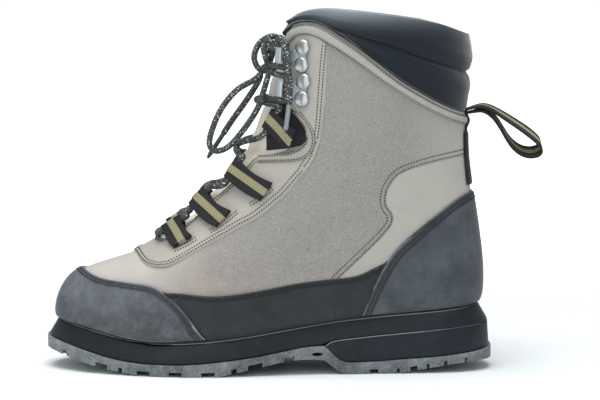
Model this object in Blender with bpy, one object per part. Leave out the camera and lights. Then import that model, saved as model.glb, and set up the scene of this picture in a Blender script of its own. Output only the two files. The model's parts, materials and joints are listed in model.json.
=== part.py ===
"""Wading boot: one left boot, standing empty and unbent on its sole.

Metres, +Z up, toe at -X, lateral side at -Y.  The origin is the middle of the flat heel rest.
Every outline is a share of the sole's length or the boot's height, and every piece on the
upper is worked out from one function, skin(), which gives a point of the upper's outer face.
"""
import math

import bmesh
import bpy
from mathutils import Vector

for old in list(bpy.data.objects):
    bpy.data.objects.remove(old, do_unlink=True)

# driving sizes (metres)
SOLE_LENGTH = 0.312
BOOT_HEIGHT = 0.250
BALL_HALF = 0.059          # half of the outsole's width at the ball
SHAFT_HALF = 0.045         # half of the shaft's width at the top line
WALL = 0.0020              # upper wall
GAP = 0.00052              # between pieces that lie on each other
LEATHER = 0.0011           # facing, bindings, backstay
RUBBER = 0.0016            # cap, rand, counter
TONGUE_THICK = 0.0034
INSOLE_THICK = 0.0040
CUFF_THICK = 0.0090
SLOT_DEPTH = 0.0032        # between the sole's lugs
TOE_SWING = 0.006          # the toe's lean to the medial side
LACE_R = 0.0021
WEB_THICK = 0.0013
WEB_HALF = 0.0074          # half of the webbing's width
PULL_HALF = 0.0080
RIVET_R = 0.0041
PLATE_THICK = 0.0012

HEEL_REST_SHARE = 0.712    # middle of the heel's flat spot, as a share of the length from the toe
LATERAL, MEDIAL = -1.0, 1.0

# short tables
# sole: share of the length from the toe; half width lateral and medial (shares of BALL_HALF,
# before rounding the ends); heights in shares of BOOT_HEIGHT
SOLE_ROUND = 0.62
SOLE = (  # share, lateral, medial
    (0.00, 0.76, 0.80), (0.08, 0.92, 1.00), (0.15, 0.99, 1.06), (0.30, 1.05, 1.03),
    (0.45, 0.95, 0.80), (0.55, 0.85, 0.66), (0.65, 0.78, 0.63), (0.75, 0.77, 0.71),
    (0.85, 0.83, 0.81), (0.95, 0.90, 0.90), (1.00, 0.85, 0.85),
)
LINES = (  # share, feather edge, bottom of midsole, top of outsole, bottom of lugs
    (0.000, .1380, .0900, .0900, .0580), (0.040, .1310, .0780, .0780, .0450),
    (0.090, .1172, .0630, .0630, .0280), (0.130, .1040, .0500, .0500, .0175),
    (0.180, .0920, .0384, .0384, .0072), (0.220, .0836, .0336, .0336, .0012),
    (0.235, .0815, .0330, .0330, .0000), (0.270, .0792, .0322, .0322, .0000),
    (0.310, .0816, .0322, .0322, .0000), (0.355, .0864, .0356, .0356, .0000),
    (0.375, .0896, .0380, .0380, .0000), (0.400, .0932, .0412, .0412, .0024),
    (0.440, .0984, .0468, .0468, .0130), (0.485, .1072, .0548, .0548, .0250),
    (0.530, .1164, .0650, .0650, .0372), (0.570, .1248, .0744, .0744, .0432),
    (0.600, .1304, .0784, .0784, .0430), (0.622, .1348, .0800, .0790, .0405),
    (0.640, .1384, .0900, .0600, .0230), (0.655, .1416, .0940, .0430, .0100),
    (0.670, .1444, .0960, .0345, .0010), (0.680, .1460, .0972, .0322, .0000),
    (0.745, .1536, .1052, .0345, .0000), (0.772, .1564, .1084, .0372, .0000),
    (0.835, .1612, .1144, .0424, .0105), (0.880, .1652, .1188, .0460, .0190),
    (0.920, .1708, .1236, .0508, .0256), (0.960, .1780, .1272, .0560, .0285),
    (1.000, .1830, .1310, .0640, .0310),
)
SLOTS = (  # share from, share to
    (.046, .054), (.121, .147), (.171, .180), (.213, .241), (.283, .311), (.354, .383),
    (.4195, .4305), (.456, .488), (.535, .557),
    (.726, .744), (.785, .791), (.815, .831), (.851, .857), (.890, .898), (.935, .943),
)
# levels of the upper from the feather edge to the collar: where each level crosses the toe,
# vamp and instep line in front and the heel and back line behind
LEVELS = (  # front share, front height, back share, back height
    (.0330, .136, .963, .180), (.0280, .160, .975, .209), (.0360, .207, .977, .258),
    (.0500, .242, .976, .303), (.0700, .266, .972, .342), (.1020, .284, .969, .376),
    (.1470, .300, .966, .407), (.1980, .322, .962, .438), (.2500, .357, .958, .471),
    (.3040, .410, .952, .508), (.3550, .474, .948, .545), (.4000, .540, .944, .581),
    (.4380, .606, .942, .618), (.4660, .673, .941, .657), (.4860, .742, .941, .699),
    (.4990, .812, .942, .750), (.5080, .882, .946, .806), (.5150, .948, .950, .865),
    (.5210, 1.006, .951, .913), (.5260, 1.060, .951, .960),
)
SAG = (  # share from back to front, drop of the feather edge under the straight line
    (0.00, 0.0), (.10, -.0064), (.20, -.0100), (.28, -.0136), (.375, -.0248), (.47, -.0372),
    (.56, -.0516), (.66, -.0590), (.75, -.0618), (.80, -.0560), (.845, -.0450),
    (.89, -.0320), (.94, -.0150), (1.0, 0.0),
)
SAG_LEVELS = 8.0
# half widths (shares of BALL_HALF) at 0, .2, .4, .6, .8 and 1 of the way from back to front
GIRTH = (  # level, roundness, lateral x6, medial x6
    (0, .62, .80, .73, .77, .93, .99, .74, .80, .71, .62, .84, .97, .78),
    (3, .62, .79, .75, .76, .93, .97, .76, .79, .73, .67, .85, .94, .78),
    (6, .70, .75, .73, .73, .85, .92, .78, .75, .71, .68, .80, .88, .78),
    (9, .80, .68, .69, .71, .76, .78, .71, .68, .69, .69, .73, .76, .71),
)
COLLAR = (  # level, roundness, half width in shares of SHAFT_HALF x6
    (12, .84, .80, .86, .92, .96, .95, .88), (15, .88, .84, .92, .98, .99, .96, .88),
    (18, .90, .94, 1.02, 1.06, 1.05, 1.00, .92), (21, .90, .94, 1.03, 1.07, 1.06, 1.00, .92),
)
STATIONS = (0.0, .2, .4, .6, .8, 1.0)
# edge of the throat from the vamp to the top of the hooks, seen from the side
THROAT = (  # share, height
    (.268, .370), (.272, .368), (.285, .374), (.305, .391), (.327, .413), (.349, .438),
    (.375, .471), (.404, .504), (.433, .540), (.459, .576), (.474, .599), (.500, .605),
    (.530, .609), (.556, .616), (.572, .628), (.580, .644), (.579, .664), (.567, .688),
    (.550, .714), (.538, .738), (.5355, .765), (.536, .830), (.5345, .913), (.536, .934),
)
TOP_LINE = (  # share, height
    (.530, .931), (.537, .939), (.548, .952), (.570, .963), (.592, .965), (.614, .959),
    (.636, .944), (.658, .925), (.702, .889), (.746, .845), (.789, .804), (.833, .771),
    (.877, .741), (.921, .718), (.942, .710),
)
GROOVE = (  # share, height, between the cuff's rolls
    (.540, .962), (.560, .968), (.600, .966), (.642, .947), (.679, .925), (.723, .908),
    (.767, .889), (.832, .868), (.876, .851), (.920, .834), (.944, .828),
)
CREST = (  # share, height
    (.535, .972), (.548, .984), (.570, .995), (.592, 1.001), (.636, 1.002), (.680, .997),
    (.724, .991), (.790, .981), (.856, .969), (.900, .955), (.922, .945), (.946, .934),
)
CAP_ROWS = (  # low share, low height (0 is the feather edge), high share, high height
    (.030, 0, .082, .279), (.034, 0, .090, .276), (.045, 0, .108, .269), (.080, 0, .132, .261),
    (.130, 0, .175, .256), (.190, 0, .219, .252), (.240, 0, .243, .248), (.285, 0, .262, .239),
    (.320, 0, .290, .214), (.342, 0, .314, .183), (.356, 0, .337, .144), (.3645, 0, .3545, .113),
)
RAND_ROWS = (
    (.2790, .2335, .2820, .2378), (.2970, .2180, .3030, .2305), (.3215, .1860, .3340, .2245),
    (.3450, .1475, .3740, .2200), (.3625, .1160, .4100, .2230), (.3730, 0, .4400, .2270),
    (.4400, 0, .5050, .2400), (.5300, 0, .5700, .2540), (.6100, 0, .6360, .2630),
    (.6700, 0, .6790, .2670), (.6960, 0, .7010, .2730), (.7110, .2000, .7230, .2850),
    (.7270, .2430, .7380, .2960), (.7440, .2860, .7530, .3080),
)
COUNTER_ROWS = (
    (.9700, 0, .9580, .4960), (.9620, 0, .9500, .4945), (.9480, 0, .9360, .4880),
    (.9200, 0, .9080, .4690), (.8800, 0, .8760, .4390), (.8400, 0, .8440, .4100),
    (.8020, 0, .8100, .3760),
    (.7680, 0, .7820, .3430), (.7380, 0, .7600, .3050), (.7200, 0, .7400, .2600),
    (.7100, 0, .7250, .2160), (.7050, 0, .7140, .1840),
)
FACING_ROWS = (
    (.1950, .3200, .2640, .3660), (.2050, .3220, .2655, .3640), (.2160, .3110, .2680, .3630),
    (.2310, .3000, .2730, .3640), (.2530, .2950, .2820, .3700), (.2820, .2980, .2930, .3780),
    (.3080, .3140, .3080, .3920), (.3410, .3360, .3290, .4120), (.3740, .3600, .3510, .4370),
    (.4060, .3820, .3770, .4700), (.4390, .4070, .4060, .5030), (.4720, .4280, .4350, .5380),
    (.5000, .4560, .4600, .5730), (.5370, .4940, .4770, .5960), (.5600, .5290, .5180, .6010),
    (.5790, .5540, .5520, .6080), (.5950, .5800, .5770, .6230), (.6060, .6100, .5850, .6440),
    (.6130, .6410, .5840, .6650), (.6180, .6820, .5700, .6930), (.6205, .7120, .5530, .7180),
    (.6225, .7450, .5410, .7420), (.6250, .7850, .5385, .7800), (.6270, .8200, .5390, .8300),
    (.6290, .8500, .5385, .8600), (.6320, .8830, .5388, .8720), (.6240, .8985, .5400, .8800),
    (.6110, .9085, .5425, .8860), (.5970, .9160, .5455, .8910), (.5800, .9190, .5490, .8955),
    (.5660, .9130, .5530, .8995),
)
NOTCH_ROWS = (
    (.4800, .5750, .4790, .5960), (.5180, .5790, .5150, .6005), (.5500, .5810, .5500, .6075),
    (.5760, .5880, .5740, .6210), (.5960, .6070, .5850, .6420), (.6040, .6370, .5845, .6650),
    (.6010, .6680, .5745, .6860), (.5900, .6930, .5640, .7030), (.5730, .7180, .5550, .7170),
)
BINDING_ROWS = (
    (.5480, .8990, .5375, .9120), (.5540, .9120, .5400, .9310), (.5640, .9220, .5500, .9470),
    (.5790, .9280, .5710, .9580), (.5970, .9250, .5920, .9600), (.6100, .9180, .6130, .9540),
    (.6280, .9050, .6350, .9390), (.6500, .8890, .6570, .9200), (.6980, .8480, .7010, .8840),
    (.7420, .8080, .7450, .8400), (.7870, .7710, .7880, .7990), (.8320, .7360, .8320, .7660),
    (.8770, .7070, .8760, .7360), (.9180, .6850, .9200, .7130), (.9430, .6750, .9430, .7050),
)
LOOPS = (  # low share, low height, high share, high height
    (.3180, .3530, .3020, .3860), (.4070, .4200, .3620, .4600),
    (.5000, .4980, .4380, .5440), (.5640, .6330, .5080, .6860),
)
HOOKS = ((.5750, .7770), (.5750, .8700))   # share, height of each plate's middle
HOOK_RISE = .0215                          # from a plate's middle to each rivet
PULL_TILT = .42                            # rise of the pull loop across its width
PULL_PATH = (  # share, height, middle line of the webbing: out along the top, back below
    (.9448, .7215), (.9600, .7275), (.9780, .7315), (.9960, .7260), (1.0210, .7080),
    (1.0660, .6720), (1.0980, .6420), (1.1110, .6220), (1.1080, .6080), (1.0950, .6010),
    (1.0770, .6010), (1.0560, .6130), (1.0370, .6380), (1.0210, .6720), (1.0050, .7000),
    (.9900, .7140), (.9760, .7190), (.9610, .7155), (.9448, .7112),
)
PANEL_EDGE = ((0, .55), (.08, 1.0), (.5, 1.0), (.92, 1.0), (1, .55))  # across, share of height

part = bpy.data.collections.new("wading_boot")
cutters = bpy.data.collections.new("cutters")
for made in (part, cutters):
    bpy.context.scene.collection.children.link(made)


# helpers
class Curve:
    """A smooth line through a table that never swings past its rows."""

    def __init__(self, xs, ys):
        self.xs, self.ys = list(xs), list(ys)
        steps = [(d - c) / (b - a) for a, b, c, d in
                 zip(self.xs, self.xs[1:], self.ys, self.ys[1:])]
        slopes = [steps[0]]
        for left, right in zip(steps, steps[1:]):
            same = left * right > 0
            slopes.append(2 * left * right / (left + right) if same else 0.0)
        self.slopes = slopes + [steps[-1]]

    def at(self, x):
        xs, ys = self.xs, self.ys
        if x <= xs[0]:
            return ys[0]
        if x >= xs[-1]:
            return ys[-1]
        i = max(k for k in range(len(xs) - 1) if xs[k] <= x)
        h = xs[i + 1] - xs[i]
        t = (x - xs[i]) / h
        a, b = self.slopes[i] * h, self.slopes[i + 1] * h
        return (ys[i] * (1 + 2 * t) * (1 - t) ** 2 + a * t * (1 - t) ** 2
                + ys[i + 1] * t * t * (3 - 2 * t) + b * t * t * (t - 1))


def columns(table):
    xs = [row[0] for row in table]
    return [Curve(xs, [row[k] for row in table]) for k in range(1, len(table[0]))]


SOLE_HALF = dict(zip((LATERAL, MEDIAL), columns(SOLE)))
FEATHER, SHELF, OUTSOLE_TOP, LUG_BOTTOM = columns(LINES)
FRONT_S, FRONT_Z, BACK_S, BACK_Z = columns([(i,) + row for i, row in enumerate(LEVELS)])
DROP = columns(SAG)[0]


def girth_rows():
    rows = []
    for level, power, *widths in GIRTH:
        rows.append((level, power, [w * BALL_HALF for w in widths[:6]],
                     [w * BALL_HALF for w in widths[6:]]))
    for level, power, *widths in COLLAR:
        half = [w * SHAFT_HALF for w in widths]
        rows.append((level, power, half, half))
    return rows


GIRTHS = [(level, power, {LATERAL: Curve(STATIONS, lat), MEDIAL: Curve(STATIONS, med)})
          for level, power, lat, med in girth_rows()]


def place(share, y, height):
    return Vector(((share - HEEL_REST_SHARE) * SOLE_LENGTH, y, height * BOOT_HEIGHT))


def half_width(v, t, side):
    """Half width and roundness at level v, t of the way from back to front."""
    k = max(i for i, row in enumerate(GIRTHS[:-1]) if row[0] <= v or i == 0)
    f = (v - GIRTHS[k][0]) / (GIRTHS[k + 1][0] - GIRTHS[k][0])
    spots = [GIRTHS[min(max(k + d, 0), len(GIRTHS) - 1)] for d in (-1, 0, 1, 2)]
    w = (-.5 * f + f * f - .5 * f ** 3, 1 - 2.5 * f * f + 1.5 * f ** 3,
         .5 * f + 2 * f * f - 1.5 * f ** 3, -.5 * f * f + .5 * f ** 3)
    width = sum(a * row[2][side].at(t) for a, row in zip(w, spots))
    power = spots[1][1] + (spots[2][1] - spots[1][1]) * f
    return width, power


def level_height(t, v):
    fade = max(0.0, 1 - v / SAG_LEVELS) ** 1.4
    return BACK_Z.at(v) + (FRONT_Z.at(v) - BACK_Z.at(v)) * t + DROP.at(t) * fade


def skin(u, v):
    """Outer face of the upper: u once around from the back over the lateral side."""
    u = u % 1.0
    side = LATERAL if u < .5 else MEDIAL
    q = 2 * u if u < .5 else 2 * (1 - u)
    t = (1 - math.cos(math.pi * q)) / 2
    share = BACK_S.at(v) + (FRONT_S.at(v) - BACK_S.at(v)) * t
    width, power = half_width(v, t, side)
    y = side * width * max(0.0, math.sin(math.pi * q)) ** power
    y += TOE_SWING * max(0.0, 1 - share / .45) ** 2 * max(0.0, 1 - v / 12)
    return place(share, y, level_height(t, v))


def normal(u, v):
    du, dv = .004, .06
    a = skin(u + du, v) - skin(u - du, v)
    b = skin(u, v + dv) - skin(u, max(v - dv, 0))
    return b.cross(a).normalized()


def lifted(u, v, lift):
    return skin(u, v) + normal(u, v) * lift


def on_skin(share, height):
    """(q, v) of the point of the upper that is seen there from the side."""
    low, high, t = 0.0, float(len(LEVELS) - 1), 0.0
    for _ in range(34):
        v = (low + high) / 2
        t = (share - BACK_S.at(v)) / (FRONT_S.at(v) - BACK_S.at(v))
        if t > 1 or level_height(max(t, 0), v) > height:
            high = v
        else:
            low = v
    v = (low + high) / 2
    t = min(max((share - BACK_S.at(v)) / (FRONT_S.at(v) - BACK_S.at(v)), 0), 1)
    return math.acos(1 - 2 * t) / math.pi, v


def around(q, side):
    return (q / 2 if side == LATERAL else 1 - q / 2) % 1.0


def smooth_step(f):
    """0 below 0 and 1 above 1, with a soft rise between."""
    f = min(max(f, 0), 1)
    return f * f * (3 - 2 * f)


def material(name, colour, rough):
    made = bpy.data.materials.new(name)
    made.use_nodes = True
    shader = made.node_tree.nodes["Principled BSDF"]
    shader.inputs["Base Color"].default_value = (*colour, 1)
    shader.inputs["Roughness"].default_value = rough
    return made


def solid(name, verts, faces, look, home=part):
    mesh = bpy.data.meshes.new(name)
    mesh.from_pydata([tuple(v) for v in verts], [], faces)
    shape = bmesh.new()
    shape.from_mesh(mesh)
    bmesh.ops.remove_doubles(shape, verts=shape.verts, dist=1e-7)
    bmesh.ops.recalc_face_normals(shape, faces=shape.faces)
    shape.to_mesh(mesh)
    shape.free()
    made = bpy.data.objects.new(name, mesh)
    home.objects.link(made)
    if look:
        mesh.materials.append(look)
    return made


def boolean(target, tool, way):
    step = target.modifiers.new(way.lower(), "BOOLEAN")
    step.operation = way
    step.solver = "EXACT"
    step.object = tool
    tool.hide_render = True
    tool.display_type = "WIRE"


def sheet_solid(name, outer, inner, look):
    """Closed solid between two grids of points with the same rows and columns."""
    rows, cols = len(outer), len(outer[0])
    verts = [p for row in outer for p in row] + [p for row in inner for p in row]
    base = rows * cols

    def at(i, j, low=0):
        return low * base + i * cols + j

    faces = []
    for i in range(rows - 1):
        for j in range(cols - 1):
            faces.append((at(i, j), at(i, j + 1), at(i + 1, j + 1), at(i + 1, j)))
            faces.append((at(i, j, 1), at(i + 1, j, 1), at(i + 1, j + 1, 1), at(i, j + 1, 1)))
    rim = [(i, 0) for i in range(rows)] + [(rows - 1, j) for j in range(1, cols)]
    rim += [(i, cols - 1) for i in range(rows - 2, -1, -1)] + [(0, j) for j in range(cols - 2, 0, -1)]
    for a, b in zip(rim, rim[1:] + rim[:1]):
        faces.append((at(*a), at(*b), at(*b, 1), at(*a, 1)))
    return solid(name, verts, faces, look)


def smooth_rows(rows, parts):
    """More rows between the table's rows, on a curve through them."""
    out = []
    for k in range(len(rows) - 1):
        a, b, c, d = (rows[max(k - 1, 0)], rows[k], rows[k + 1], rows[min(k + 2, len(rows) - 1)])
        for step in range(parts):
            f = step / parts
            out.append(tuple(
                .5 * (2 * q + (r - p) * f + (2 * p - 5 * q + 4 * r - s) * f * f
                      + (3 * q - p - 3 * r + s) * f ** 3) for p, q, r, s in zip(a, b, c, d)))
    return out + [rows[-1]]


def panel_rows(table, parts, middle=None, low_level=.22):
    """(q, v) low and high along a panel; middle is the q of its first row, if it has one."""
    rows = []
    for low_s, low_z, high_s, high_z in table:
        low, high = on_skin(low_s, low_z), on_skin(high_s, high_z)
        if middle is not None and not rows:
            low, high = (middle, low[1]), (middle, high[1])
        rows.append((low[0], max(low[1], low_level)) + high)
    return [tuple(min(max(x, 0), 1) if k in (0, 2) else max(x, 0) for k, x in enumerate(row))
            for row in smooth_rows(rows, parts)]


def even_stations(stations, count, turn_weight=.010):
    """Picks stations along a panel, closer together where the upper bends more."""
    spots = []
    for side, (q0, v0, q1, v1) in stations:
        spots.append([skin(around(q0 + (q1 - q0) * f, side), v0 + (v1 - v0) * f)
                      for f in (.1, .5, .9)])
    reach = [0.0]
    for k in range(1, len(spots)):
        step = sum((a - b).length for a, b in zip(spots[k], spots[k - 1])) / 3
        turn = 0.0
        if k < len(spots) - 1:
            for a, b, c in zip(spots[k - 1], spots[k], spots[k + 1]):
                if (b - a).length > 1e-6 and (c - b).length > 1e-6:
                    turn += (b - a).angle(c - b) / 3
        reach.append(reach[-1] + step + turn * turn_weight)
    picked, wanted = [0], 1
    for k in range(1, len(spots) - 1):
        if reach[k] >= reach[-1] * wanted / (count - 1):
            picked.append(k)
            while reach[k] >= reach[-1] * wanted / (count - 1):
                wanted += 1
    picked.append(len(spots) - 1)
    if reach[-1] - reach[picked[-2]] < .35 * reach[-1] / (count - 1):
        del picked[-2]
    return [stations[k] for k in picked]


def panel(name, stations, base, thick, look, across=PANEL_EDGE):
    """Overlay on the upper between two lines; stations hold a side and (q, v) low and high."""
    outer, inner = [], []
    for side, (q0, v0, q1, v1) in stations:
        top, bottom = [], []
        for f, rise in across:
            u, v = around(q0 + (q1 - q0) * f, side), v0 + (v1 - v0) * f
            spot, out = skin(u, v), normal(u, v)
            top.append(spot + out * (base + thick * rise))
            bottom.append(spot + out * base)
        outer.append(top)
        inner.append(bottom)
    return sheet_solid(name, outer, inner, look)


def one_side(rows, side):
    return [(side, row) for row in rows]


def both_sides(rows):
    """Rows start at the middle line: lateral backwards, then medial."""
    return [(LATERAL, row) for row in reversed(rows)] + [(MEDIAL, row) for row in rows[1:]]


def tube(name, path, radius, look, sides=8, home=part):
    rings, up = [], Vector((0, 0, 1))
    for k, spot in enumerate(path):
        along = (path[min(k + 1, len(path) - 1)] - path[max(k - 1, 0)]).normalized()
        if k == 0:
            up = along.cross(Vector((0, 1, 0))) if abs(along.y) < .8 else along.cross(up)
        up = (up - along * up.dot(along)).normalized()
        across = along.cross(up)
        rings.append([spot + (up * math.cos(a) + across * math.sin(a)) * radius
                      for a in (2 * math.pi * i / sides for i in range(sides))])
    verts = [p for ring in rings for p in ring]
    faces = [tuple(range(sides)), tuple(range(len(verts) - sides, len(verts)))]
    for k in range(len(rings) - 1):
        for i in range(sides):
            j = (i + 1) % sides
            faces.append((k * sides + i, k * sides + j, (k + 1) * sides + j, (k + 1) * sides + i))
    return solid(name, verts, faces, look, home)


def rounded(points, parts):
    rows = [tuple(p) for p in points]
    return [Vector(p) for p in smooth_rows(rows, parts)]


def ring_prism(name, outer, inner, wide, look):
    """A band bent to a closed ring: outer and inner line, pushed both ways along wide."""
    n = len(outer)
    verts = []
    for push in (wide * -1, wide):
        verts += [p + push for p in outer] + [p + push for p in inner]
    faces = []
    for i in range(n):
        j = (i + 1) % n
        faces += [(i, j, 2 * n + j, 2 * n + i), (n + i, 3 * n + i, 3 * n + j, n + j),
                  (i, n + i, n + j, j), (2 * n + i, 2 * n + j, 3 * n + j, 3 * n + i)]
    return solid(name, verts, faces, look)


def frame_at(share, height, side, lift, toward):
    """Local frame on the upper: place, way to another seen point, normal, along."""
    q, v = on_skin(share, height)
    u = around(q, side)
    out = normal(u, v)
    here = skin(u, v) + out * lift
    q2, v2 = on_skin(*toward)
    way = skin(around(q2, side), v2) - skin(u, v)
    way = (way - out * way.dot(out))
    reach = way.length
    way.normalize()
    return here, way, out, way.cross(out), reach


# looks
LOOK = {name: material(name, colour, rough) for name, colour, rough in (
    ("outsole_rubber", (.13, .145, .16), .72), ("midsole_black", (.022, .028, .036), .6),
    ("wedge_black", (.02, .026, .033), .62), ("insole_foam", (.05, .05, .055), .9),
    ("upper_twill", (.30, .285, .265), .85), ("cap_rubber", (.12, .135, .155), .5),
    ("rand_rubber", (.045, .05, .056), .55), ("counter_rubber", (.075, .09, .11), .5),
    ("facing_synthetic", (.48, .47, .43), .7), ("binding_synthetic", (.46, .48, .49), .65),
    ("notch_binding", (.40, .39, .36), .7), ("backstay_web", (.012, .012, .013), .7),
    ("cuff_mesh", (.026, .033, .042), .8), ("tongue_synthetic", (.50, .46, .40), .8),
    ("webbing", (.03, .03, .03), .75), ("hook_metal", (.05, .05, .055), .4),
    ("rivet_metal", (.16, .16, .17), .35), ("lace_cord", (.04, .045, .045), .8),
    ("pull_webbing", (.025, .025, .026), .75), ("end_cord", (.04, .045, .045), .8),
)}


# sole
def sole_point(s, w, height, inset=0.0, squeeze=(0.0, 1.0)):
    """Point of the sole's outline: s from the toe, w from -1 lateral to 1 medial."""
    side = LATERAL if w < 0 else MEDIAL
    round_end = max(0.0, 1 - (2 * s - 1) ** 2) ** (SOLE_ROUND / 2)
    half = max(SOLE_HALF[side].at(s) * BALL_HALF - inset, 0) * round_end
    share = squeeze[0] + (squeeze[1] - squeeze[0]) * s
    swing = TOE_SWING * max(0.0, 1 - share / .45) ** 2
    return place(share, w * half + swing, height)


ACROSS = (-1, -.6, 0, .6, 1)


def slab(name, shares, top, bottom, look):
    """Closed solid between two surfaces over the sole's outline, pointed at both ends."""
    verts, index = [], {}
    for low, surface in enumerate((top, bottom)):
        for i, s in enumerate(shares):
            ends = i in (0, len(shares) - 1) and (s in (0.0, 1.0))
            for j, w in enumerate(ACROSS):
                if ends and j:
                    index[low, i, j] = index[low, i, 0]
                    continue
                index[low, i, j] = len(verts)
                verts.append(surface(s, 0 if ends else w))
    faces = []

    def add(*keys):
        loop = []
        for key in keys:
            if index[key] not in loop:
                loop.append(index[key])
        if len(loop) > 2:
            faces.append(tuple(loop))

    last = len(ACROSS) - 1
    for i in range(len(shares) - 1):
        for j in range(last):
            add((0, i, j), (0, i, j + 1), (0, i + 1, j + 1), (0, i + 1, j))
            add((1, i, j), (1, i + 1, j), (1, i + 1, j + 1), (1, i, j + 1))
        for j in (0, last):
            add((0, i, j), (0, i + 1, j), (1, i + 1, j), (1, i, j))
    for i in (0, len(shares) - 1):
        if shares[i] not in (0.0, 1.0):
            for j in range(last):
                add((0, i, j), (0, i, j + 1), (1, i, j + 1), (1, i, j))
    return solid(name, verts, faces, look)


LONG = (0.0, .003, .012, .028, .05, .08, .11, .14, .18, .22, .235, .27, .31, .355, .375, .40, .44,
        .485, .53, .57, .60, .622, .631, .640, .648, .655, .662, .670, .680, .71, .745, .772,
        .80, .835, .87, .90, .93, .955, .975, .99, .998, 1.0)

outsole = slab(
    "outsole", LONG,
    lambda s, w: sole_point(s, w, OUTSOLE_TOP.at(s)),
    lambda s, w: sole_point(s, w, LUG_BOTTOM.at(s), .0012),
    LOOK["outsole_rubber"])

slot_verts, slot_faces = [], []


def add_slot(s0, s1, y0, y1, skew):
    """A slot's cutter: from under the sole up into it, following the curve of the sole."""
    first = len(slot_verts)
    rise = SLOT_DEPTH / BOOT_HEIGHT
    for s in (s0, s1):
        for y, lean in ((y0, -skew), (y1, skew)):
            top = place(s + lean, y, LUG_BOTTOM.at(s + lean) + rise)
            slot_verts.extend((top, Vector((top.x, top.y, -.02))))
    a = first
    slot_faces.extend(tuple(a + k for k in face) for face in (
        (0, 2, 6, 4), (1, 5, 7, 3), (0, 4, 5, 1), (2, 3, 7, 6), (0, 1, 3, 2), (4, 6, 7, 5)))


for number, (s0, s1) in enumerate(SLOTS):
    reach = BALL_HALF * 1.25
    core = BALL_HALF * (.40 if number % 2 else .30)
    for side in (LATERAL, MEDIAL):
        ends = sorted((side * core, side * reach))
        add_slot(s0, s1, ends[0], ends[1], side * .004)
for number, ((_, s0), (s1, _)) in enumerate(zip(SLOTS, SLOTS[1:])):
    middle = (s0 + s1) / 2
    if s1 - s0 > .03 and not .55 < middle < .72:
        add_slot(middle - .0075, middle + .0075, -BALL_HALF * .52, BALL_HALF * .52, 0)
slot_cutter = solid("slot_cutter", slot_verts, slot_faces, None, cutters)
boolean(outsole, slot_cutter, "DIFFERENCE")

MID_FRONT, MID_BACK = .024, .972     # the midsole's top edge, seen from the side
gap_z = GAP / BOOT_HEIGHT
UPPER_FRONT, UPPER_BACK = LEVELS[0][0], LEVELS[0][2]


def feather_height(share):
    """Height of the upper's lower edge over a share of the length."""
    t = min(max((share - UPPER_BACK) / (UPPER_FRONT - UPPER_BACK), 0), 1)
    return level_height(t, 0)


def midsole_top(s, w, drop=gap_z, inset=.0042):
    share = MID_FRONT + (MID_BACK - MID_FRONT) * s
    return sole_point(s, w, feather_height(share) - drop, inset, (MID_FRONT, MID_BACK))


MID_LONG = (0.0, .004, .016, .04, .08, .13, .18, .24, .30, .36, .42, .48, .54, .60, .618, .635, .65, .68,
            .74, .80, .86, .91, .95, .975, .992, 1.0)
midsole = slab(
    "midsole", MID_LONG, midsole_top,
    lambda s, w: sole_point(s, w, SHELF.at(s) + gap_z, .0016, (.004, .993)),
    LOOK["midsole_black"])

WEDGE_LONG = (.628, .640, .650, .660, .672, .70, .74, .79, .84, .89, .93, .96, .98, .993, 1.0)
heel_wedge = slab(
    "heel_wedge", WEDGE_LONG,
    lambda s, w: sole_point(s, w, SHELF.at(s) - gap_z * .4, .0020, (.004, .993)),
    lambda s, w: sole_point(s, w, OUTSOLE_TOP.at(s) + gap_z * 1.2, .0010, (.004, .996)),
    LOOK["wedge_black"])

IN_FRONT, IN_BACK = UPPER_FRONT + .0125, UPPER_BACK - .0125


def insole_point(s, w, rise):
    share = IN_FRONT + (IN_BACK - IN_FRONT) * s
    return sole_point(s, w, feather_height(share) + rise, .0105, (IN_FRONT, IN_BACK))


IN_LONG = (0.0, .006, .025, .06, .11, .17, .24, .31, .38, .46, .54, .62, .70, .78, .86, .92, .96, .985,
           .997, 1.0)
insole = slab(
    "insole", IN_LONG,
    lambda s, w: insole_point(s, w, INSOLE_THICK / BOOT_HEIGHT),
    lambda s, w: insole_point(s, w, gap_z * .2),
    LOOK["insole_foam"])

# upper
throat_qv = [on_skin(s, z) for s, z in THROAT]
THROAT_START = throat_qv[0][1]
rising = [throat_qv[0]]
for q, v in throat_qv[1:]:
    if v > rising[-1][1] + .012:
        rising.append((q, v))
EDGE = Curve([v for q, v in rising], [q for q, v in rising])


def level_curve(table):
    pairs = []
    for s, z in table:
        q, v = on_skin(s, z)
        if not pairs or q < pairs[-1][0] - 1e-3:
            pairs.append((q, v))
    pairs[-1] = (0.0, pairs[-1][1])
    pairs.reverse()
    return Curve([q for q, v in pairs], [v for q, v in pairs])


TOP_V, GROOVE_V, CREST_V = level_curve(TOP_LINE), level_curve(GROOVE), level_curve(CREST)

COLUMNS = (0, .02, .055, .10, .15, .205, .26, .315, .365, .41, .455, .50, .55, .605, .665,
           .725, .785, .84, .89, .935, .975, 1.0)   # shares of the way from the back to the front or the throat
UPPER_COLS = len(COLUMNS) - 1
CLOSED_LEVELS = (0, .7, 1.5, 2.5, 3.6, 4.6, 5.5, 6.3, 6.8, 7.2, 7.6, 7.95)
OPEN_LEVELS = (8.45, 8.7, 9.05, 9.5, 10.0, 10.6, 11.2, 11.7, 12.0, 12.3, 12.7, 13.1)
TOP_STEPS = 5


def open_point(c, level, step):
    """(q, v) of an open row's point: c from the back to the throat's edge."""
    v, q = level, c
    for _ in range(8):
        q = c * EDGE.at(v)
        v = level if step == 0 else level + (TOP_V.at(q) - level) * step / TOP_STEPS
    return q, v


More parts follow.
